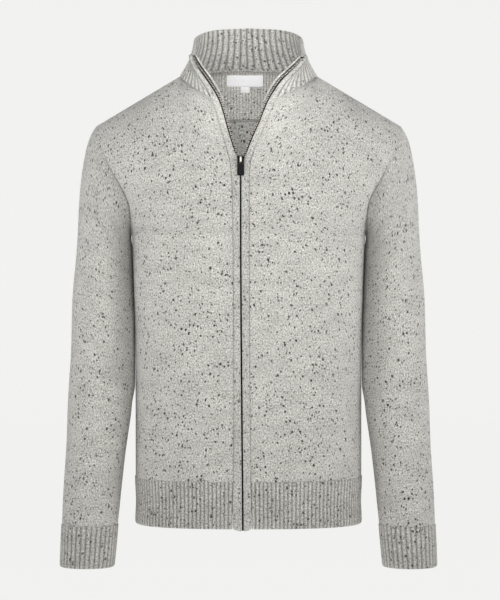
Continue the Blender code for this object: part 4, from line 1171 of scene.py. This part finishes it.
def seam_cord(name, line, ways, radius):
    """The rolled seam that closes an edge inside the neck: a soft cord laid along it."""
    line, ways = refine(line, 3), unit(refine(ways, 3))
    side = unit(np.cross(unit(np.gradient(line, axis=0)), ways))
    turns = np.linspace(0, 2 * math.pi, 8, endpoint=False)[None, :, None]
    ring = np.cos(turns) * side[:, None] + np.sin(turns) * ways[:, None] * 0.7
    uneven = 1 + 0.12 * np.sin(np.arange(len(line)) * 2.1)[:, None, None]
    outer = line[:, None] + ring * radius * uneven
    inner = line[:, None] + ring * radius * 0.4
    join_in(knit_wall(name, outer, inner, KNIT, True, (), ring_places(outer)))


def point_on(grid, x, z):
    """The point of a grid that lies at an x and a height."""
    depths, heights = zip(
        *((np.interp(x, row[:, 0], row[:, 1]), np.interp(x, row[:, 0], row[:, 2])) for row in grid)
    )
    return np.array((x, np.interp(z, heights, depths), z))


def tag_piece(name, inside, place):
    """A woven tag, sewn down at its ends with its middle a little proud."""
    half = place.width / 2
    columns = np.linspace(place.middle_x - half, place.middle_x + half, TAG_COLUMNS)
    rows = np.linspace(place.top_z - place.height, place.top_z, TAG_ROWS)
    grid = np.array([[point_on(inside, x, z) for x in columns] for z in rows])
    out = normals(grid)
    out *= np.sign(out[1, 1, 1])
    up, across = (np.sin(np.linspace(0, math.pi, count)) for count in (TAG_ROWS, TAG_COLUMNS))
    front = grid - out * (TAG_GAP + TAG_BELLY * up[:, None] * across[None, :])[..., None]
    piece = knit_wall(
        name + "_woven", front + out * TAG_WALL, front, LABEL, soft=("bottom", "top")
    )
    dress(piece, name)
    area = place.width * place.height


# ---------------------------------------------------------------- ribs


def rib_wave(columns, shift=0.0):
    """The height of the ridges across a rib, from 0 in a groove to 1 on a ridge."""
    return np.abs(np.sin(math.pi * (np.arange(columns) / COLUMNS_PER_RIB + shift))) ** 0.7


def rib_places(columns, pitch, heights):
    across = np.arange(columns) * pitch / COLUMNS_PER_RIB
    return np.stack(np.meshgrid(across, heights), axis=-1)


def ribbed(inner, outward):
    """The outer side of a rib, whose ridges die away in its last rows."""
    strength = np.ones(inner.shape[0])
    strength[-RIB_FADE_ROWS:] = ease(np.linspace(1, 0.25, RIB_FADE_ROWS + 1)[1:])
    strength = strength[:, None]
    height = rib_wave(inner.shape[1])[None, :] * strength + 0.6 * (1 - strength)
    return inner + outward * (RIB_WALL + RIB_HEIGHT * height)[..., None]


def rib_wall(low, high, pitch, height, closed=False, draw=0.0):
    """Both sides of a rib between two fine lines, its flat coordinates and its length."""
    ring = np.vstack([high, high[:1]]) if closed else high
    length = np.linalg.norm(np.diff(ring, axis=0), axis=1).sum()
    columns = COLUMNS_PER_RIB * round(length / pitch)
    low, high = (even_arc(line, columns, closed) for line in (low, high))
    shares = np.linspace(0, 1, RIB_ROWS)
    inner = np.array([lerp(low, high, share) for share in shares])
    out = unit(normals(inner, closed) * LEVEL)
    centre = inner.mean(axis=1, keepdims=True) if closed else 0.0
    out *= np.sign(np.sum(out * (inner - centre), axis=2, keepdims=True))
    inner = inner - out * (draw * np.sin(np.pi * shares) ** 2)[:, None, None]
    return ribbed(inner, out), inner, rib_places(columns + 1, pitch, shares * height), length


def hem_pieces():
    parts = (("right", 1, "seam_depth"), ("left", -1, "seam_depth"), ("back", 0, "back_depth"))
    for name, side, depth_name in parts:
        lines = []
        for z in (HEM_Z, HEM_TOP_Z):
            start = side * edge_point(side, "seam", z)[0] if side else 0.0
            depth = read(DEPTHS, depth_name, z) * (-1 if side else 1)
            line = body_row(z, start, depth, FINE_COLUMNS, RIB_WALL)
            lines.append(line if side else np.vstack([mirrored(line)[:0:-1], line]))
        *walls, places, length = rib_wall(*lines, HEM_RIB_PITCH, 0.072, draw=HEM_DRAW)
        walls = (mirrored(wall, side or 1) for wall in walls)
        name = "hem_rib_" + name
        piece = knit_wall(
            name + "_knit", *walls, HEM_RIB, False, ("bottom",), places, side * 0.3
        )
        dress(piece, name)


def cuff_pieces():
    low, high = (
        sleeve_ring(row, inset=RIB_WALL, samples=FINE_COLUMNS + 1) for row in (CUFF_END, SLEEVE[-1])
    )
    outer, inner, places, girth = rib_wall(low, high, CUFF_RIB_PITCH, 0.065, closed=True)
    for name, side in SIDES:
        walls = (mirrored(wall, side) for wall in (outer, inner))
        piece = knit_wall(
            f"cuff_{name}_knit", *walls, CUFF_RIB, True, ("bottom",), places, side * 0.5
        )
        dress(piece, "cuff_" + name)


def collar_piece():
    middle = collar_middle(COLUMNS_PER_RIB, COLLAR_ROWS)
    out = normals(middle)
    out *= np.sign(np.sum(out[3] * middle[3] * LEVEL))
    columns = middle.shape[1]
    lift = (COLLAR_RIDGE_WALL - COLLAR_GROOVE_WALL) / 2
    outer = middle + out * (1.5 * lift * rib_wave(columns))[None, :, None]
    inner = middle - out * (COLLAR_GROOVE_WALL + lift * rib_wave(columns, 0.5))[None, :, None]
    places = rib_places(columns, COLLAR_RIB_PITCH, np.linspace(0, 0.075, COLLAR_ROWS + 1))
    piece = knit_wall("collar_knit", outer, inner, RIB, soft=("top",), places=places)
    dress(piece, "collar")


# ---------------------------------------------------------------- bands and zip


def edge_heights(low, high, step):
    """Heights along a front edge, at about equal steps."""
    return np.linspace(low, high, round((high - low) / step) + 1)


def near_top(z):
    """0 along most of the parted zip, rising to 1 at the neckline, where it opens widest."""
    return ease((z + ZIP_WIDENS) / ZIP_WIDENS)


def band_clear(z):
    """How far the band's edge stays clear of the teeth's line."""
    parted = lerp(BAND_CLEAR_OPEN, BAND_CLEAR_TOP, near_top(z))
    return lerp(BAND_CLEAR_CLOSED, parted, zip_share(z))


def edge_wall(side, z, reaches, front, back):
    """Both sides of a strip along a front edge, at distances across it and out of it."""
    teeth, across, out, _ = (part[:, None] for part in edge_rungs(side, z))
    line = teeth + across * reaches[..., None]
    return line + out * front[..., None], line + out * back[..., None]


def band_piece(name, side):
    z = edge_heights(HEM_Z, RIM_END_Z[side], 0.009)
    width = edge_rungs(side, z)[-1]
    shares = np.linspace(0, 1, 9)
    crown = BAND_CROWN * np.sin(math.pi * (0.10 + 0.90 * shares)) ** 0.6
    reach = lerp(band_clear(z)[:, None], width[:, None] - BAND_SEAM_GAP, shares)
    outer, inner = edge_wall(side, z, reach, crown, np.full(9, -CLOTH))
    dip = BAND_DIP * np.exp(-((np.arange(len(z)) / 2.0) ** 2))[:, None]
    for grid in (outer, inner):
        grid[:, :-1, 2] -= dip * np.sin(math.pi * (1 - shares[:-1]) / 2)[None, :]
    piece = knit_wall(
        f"front_band_{name}_knit", outer, inner, BAND, False, ALL_EDGES, None, side * 0.4
    )
    dress(piece, "front_band_" + name)
    rests_on = ["front_" + name]


def tape_heights(side):
    return edge_heights(HEM_Z - BAND_DIP + 0.001, RIM_END_Z[side] - 0.0015, 0.012)


def tape_piece(name, side):
    """One woven tape of the zip, which comes forward where the zip has parted."""
    z = tape_heights(side)
    parted, clear = zip_share(z), band_clear(z)
    edge = -parted * lerp(*TAPE_PAST_TEETH, near_top(z))
    bends = (clear + step for step in TAPE_STEPS_BACK)
    reaches = np.stack([edge, *bends, TAPE_WIDTH + 0 * z], axis=1)
    forward = TAPE_FORWARD * parted[:, None] * np.array((1.0, 1.0, 0.0, 0.0))
    front = forward - CLOTH - TAPE_GAP
    walls = edge_wall(side, z, reaches, front, front - TAPE_WALL)
    piece = knit_wall(f"zip_tape_{name}_woven", *walls, TAPE)
    dress(piece, "zip_tape_" + name)
    "front_band_" + name


def teeth_piece(name, side):
    """One side's row of teeth, each a small block that narrows away from the band."""
    ends = tape_heights(side)
    z = np.linspace(ends[0], ends[-1], 900)
    line, ways, outs, _ = edge_rungs(side, z)
    steps = np.concatenate([[0], np.cumsum(np.linalg.norm(np.diff(line, axis=0), axis=1))])
    first = 0.25 if side > 0 else 0.75
    bm = bmesh.new()
    for at in (np.arange(int(steps[-1] / TOOTH_PITCH)) + first) * TOOTH_PITCH:
        k = min(int(np.searchsorted(steps, at)), len(z) - 2)
        way, outward, parted = ways[k], outs[k], zip_share(z[k])
        up = unit(np.cross(way, outward))
        centre = line[k] + way * lerp(*TOOTH_REACH, parted) - outward * lerp(*TOOTH_SUNK, parted)
        for vert in bmesh.ops.create_cube(bm, size=1.0)["verts"]:
            x, y, t = vert.co
            taper = 1.0 if x > 0 else TOOTH_TAPER
            vert.co = centre + way * (x * lerp(*TOOTH_WIDTH, parted))
            vert.co += Vector((outward * y * TOOTH_DEPTH + up * t * TOOTH_HEIGHT) * taper)
            for face in vert.link_faces:
                # Teeth of the closed zip take the near-black finish: painted shade.
                face.material_index = int(z[k] < ZIP_CLOSED_Z)
    bmesh.ops.recalc_face_normals(bm, faces=bm.faces)
    join_in(finished("zip_teeth_" + name, bm, (COIL, SHADED_COIL)))


def turned_edge_piece(name, side):
    """The collar's turned edge, a narrow knit strip that shows inside the parted zip."""
    z = edge_heights(TURNED_LOW_Z, RIM_END_Z[side] - 0.001, 0.006)
    shares = np.linspace(0, 1, 6)
    wide = lerp(*TURNED_WIDTHS, ease((z - z[0]) / TURNED_WIDENS))
    reaches = -TURNED_CLEAR - wide[:, None] * (1 - shares)[None, :]
    front = TURNED_PUFF * (np.sin(math.pi * shares) + 1) - CLOTH
    walls = edge_wall(side, z, reaches, front, front - TURNED_WALL)
    join_in(knit_wall("collar_turned_edge_" + name, *walls, BAND, soft=ALL_EDGES))


def bridge_cap():
    """The polished rounded front of the slider's bridge."""
    bm = bmesh.new()
    bmesh.ops.create_cone(
        bm,
        cap_ends=True,
        segments=20,
        radius1=BRIDGE_CAP_HALF,
        radius2=BRIDGE_CAP_HALF,
        depth=BRIDGE_CAP_HEIGHT,
    )
    bmesh.ops.scale(bm, vec=(1.0, 0.55, 1.0), verts=bm.verts)
    rims = [edge for edge in bm.edges if edge.calc_face_angle() > 1.0]
    bmesh.ops.bevel(
        bm, geom=rims, offset=0.0004, affect="EDGES", segments=2, profile=0.5, material=-1
    )
    bmesh.ops.translate(bm, vec=(SLIDER_X, BRIDGE_FRONT_Y, BRIDGE_MIDDLE_Z), verts=bm.verts)
    bmesh.ops.recalc_face_normals(bm, faces=bm.faces)
    join_in(finished("slider_bridge_front", bm, (BRIGHT,)))


def recolour_hardware():
    """The slider and the pull keep their solids' shape, with metal and moulded finishes."""
    for node, finish in (("zip_slider", GUNMETAL), ("zip_pull", BLACK)):
        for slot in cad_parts[node].material_slots:
            slot.material = finish


# ---------------------------------------------------------------- studio


def cove():
    """A plain pale floor that bends up into the wall behind."""
    bm = bmesh.new()
    bmesh.ops.create_grid(bm, x_segments=1, y_segments=24, size=1.0)
    for vert in bm.verts:
        t = (vert.co.y + 1) / 2
        bent = (t - COVE_FLOOR_END) / (COVE_WALL_START - COVE_FLOOR_END)
        turn = min(max(bent, 0.0), 1.0) * math.pi / 2
        y = COVE_WALL_Y - COVE_BEND * (1 - math.sin(turn))
        z = COVE_BEND * (1 - math.cos(turn))
        if t < COVE_FLOOR_END:
            y = lerp(COVE_FRONT_Y, y, t / COVE_FLOOR_END)
        if t > COVE_WALL_START:
            z = lerp(z, COVE_HEIGHT, (t - COVE_WALL_START) / (1 - COVE_WALL_START))
        vert.co = (vert.co.x * COVE_HALF_WIDTH, y, z + COVE_FLOOR_Z)
    pale = {
        "Specular IOR Level": 0.0,
        "Emission Color": COVE_GLOW,
        "Emission Strength": COVE_GLOW_STRENGTH,
    }
    paper, *_ = plain_finish("cove_paper", (0.10, 0.10, 0.10), 1.0, pale)
    finished("studio_cove", bm, (paper,))


def lights():
    """Soft boxes in front and at both sides, a small light into the neck, and a pale fill."""
    for light in LIGHTS:
        lamp = bpy.data.lights.new(light.name, "AREA")
        lamp.shape, lamp.size, lamp.energy = "SQUARE", light.size, light.power
        lamp.spread = math.radians(light.spread)
        made = bpy.data.objects.new(light.name, lamp)
        made.location = light.place
        look = Vector(light.aim) - Vector(light.place)
        made.rotation_euler = look.to_track_quat("-Z", "Y").to_euler()
        bpy.context.scene.collection.objects.link(made)
    world = bpy.data.worlds.new("studio_fill")
    world.use_nodes = True
    sky = world.node_tree.nodes["Background"].inputs
    sky["Color"].default_value = FILL_COLOUR
    sky["Strength"].default_value = FILL_STRENGTH
    bpy.context.scene.world = world


def camera():
    """A long lens, level with the chest."""
    lens = bpy.data.cameras.new("camera")
    lens.lens, lens.sensor_width = LENS_MM, 36.0
    lens.shift_x, lens.shift_y = LENS_SHIFT
    made = bpy.data.objects.new("camera", lens)
    made.location = CAMERA_AT
    made.rotation_euler = (math.pi / 2, 0.0, 0.0)
    bpy.context.scene.collection.objects.link(made)
    bpy.context.scene.camera = made
    bpy.context.scene.view_settings.view_transform = "Standard"


front_pieces()
back_pieces()
sleeve_pieces()
hem_pieces()
cuff_pieces()
collar_piece()
for side_name, side_sign in SIDES:
    for make in (band_piece, tape_piece, teeth_piece, turned_edge_piece):
        make(side_name, side_sign)
bridge_cap()
recolour_hardware()
cove()
lights()
camera()
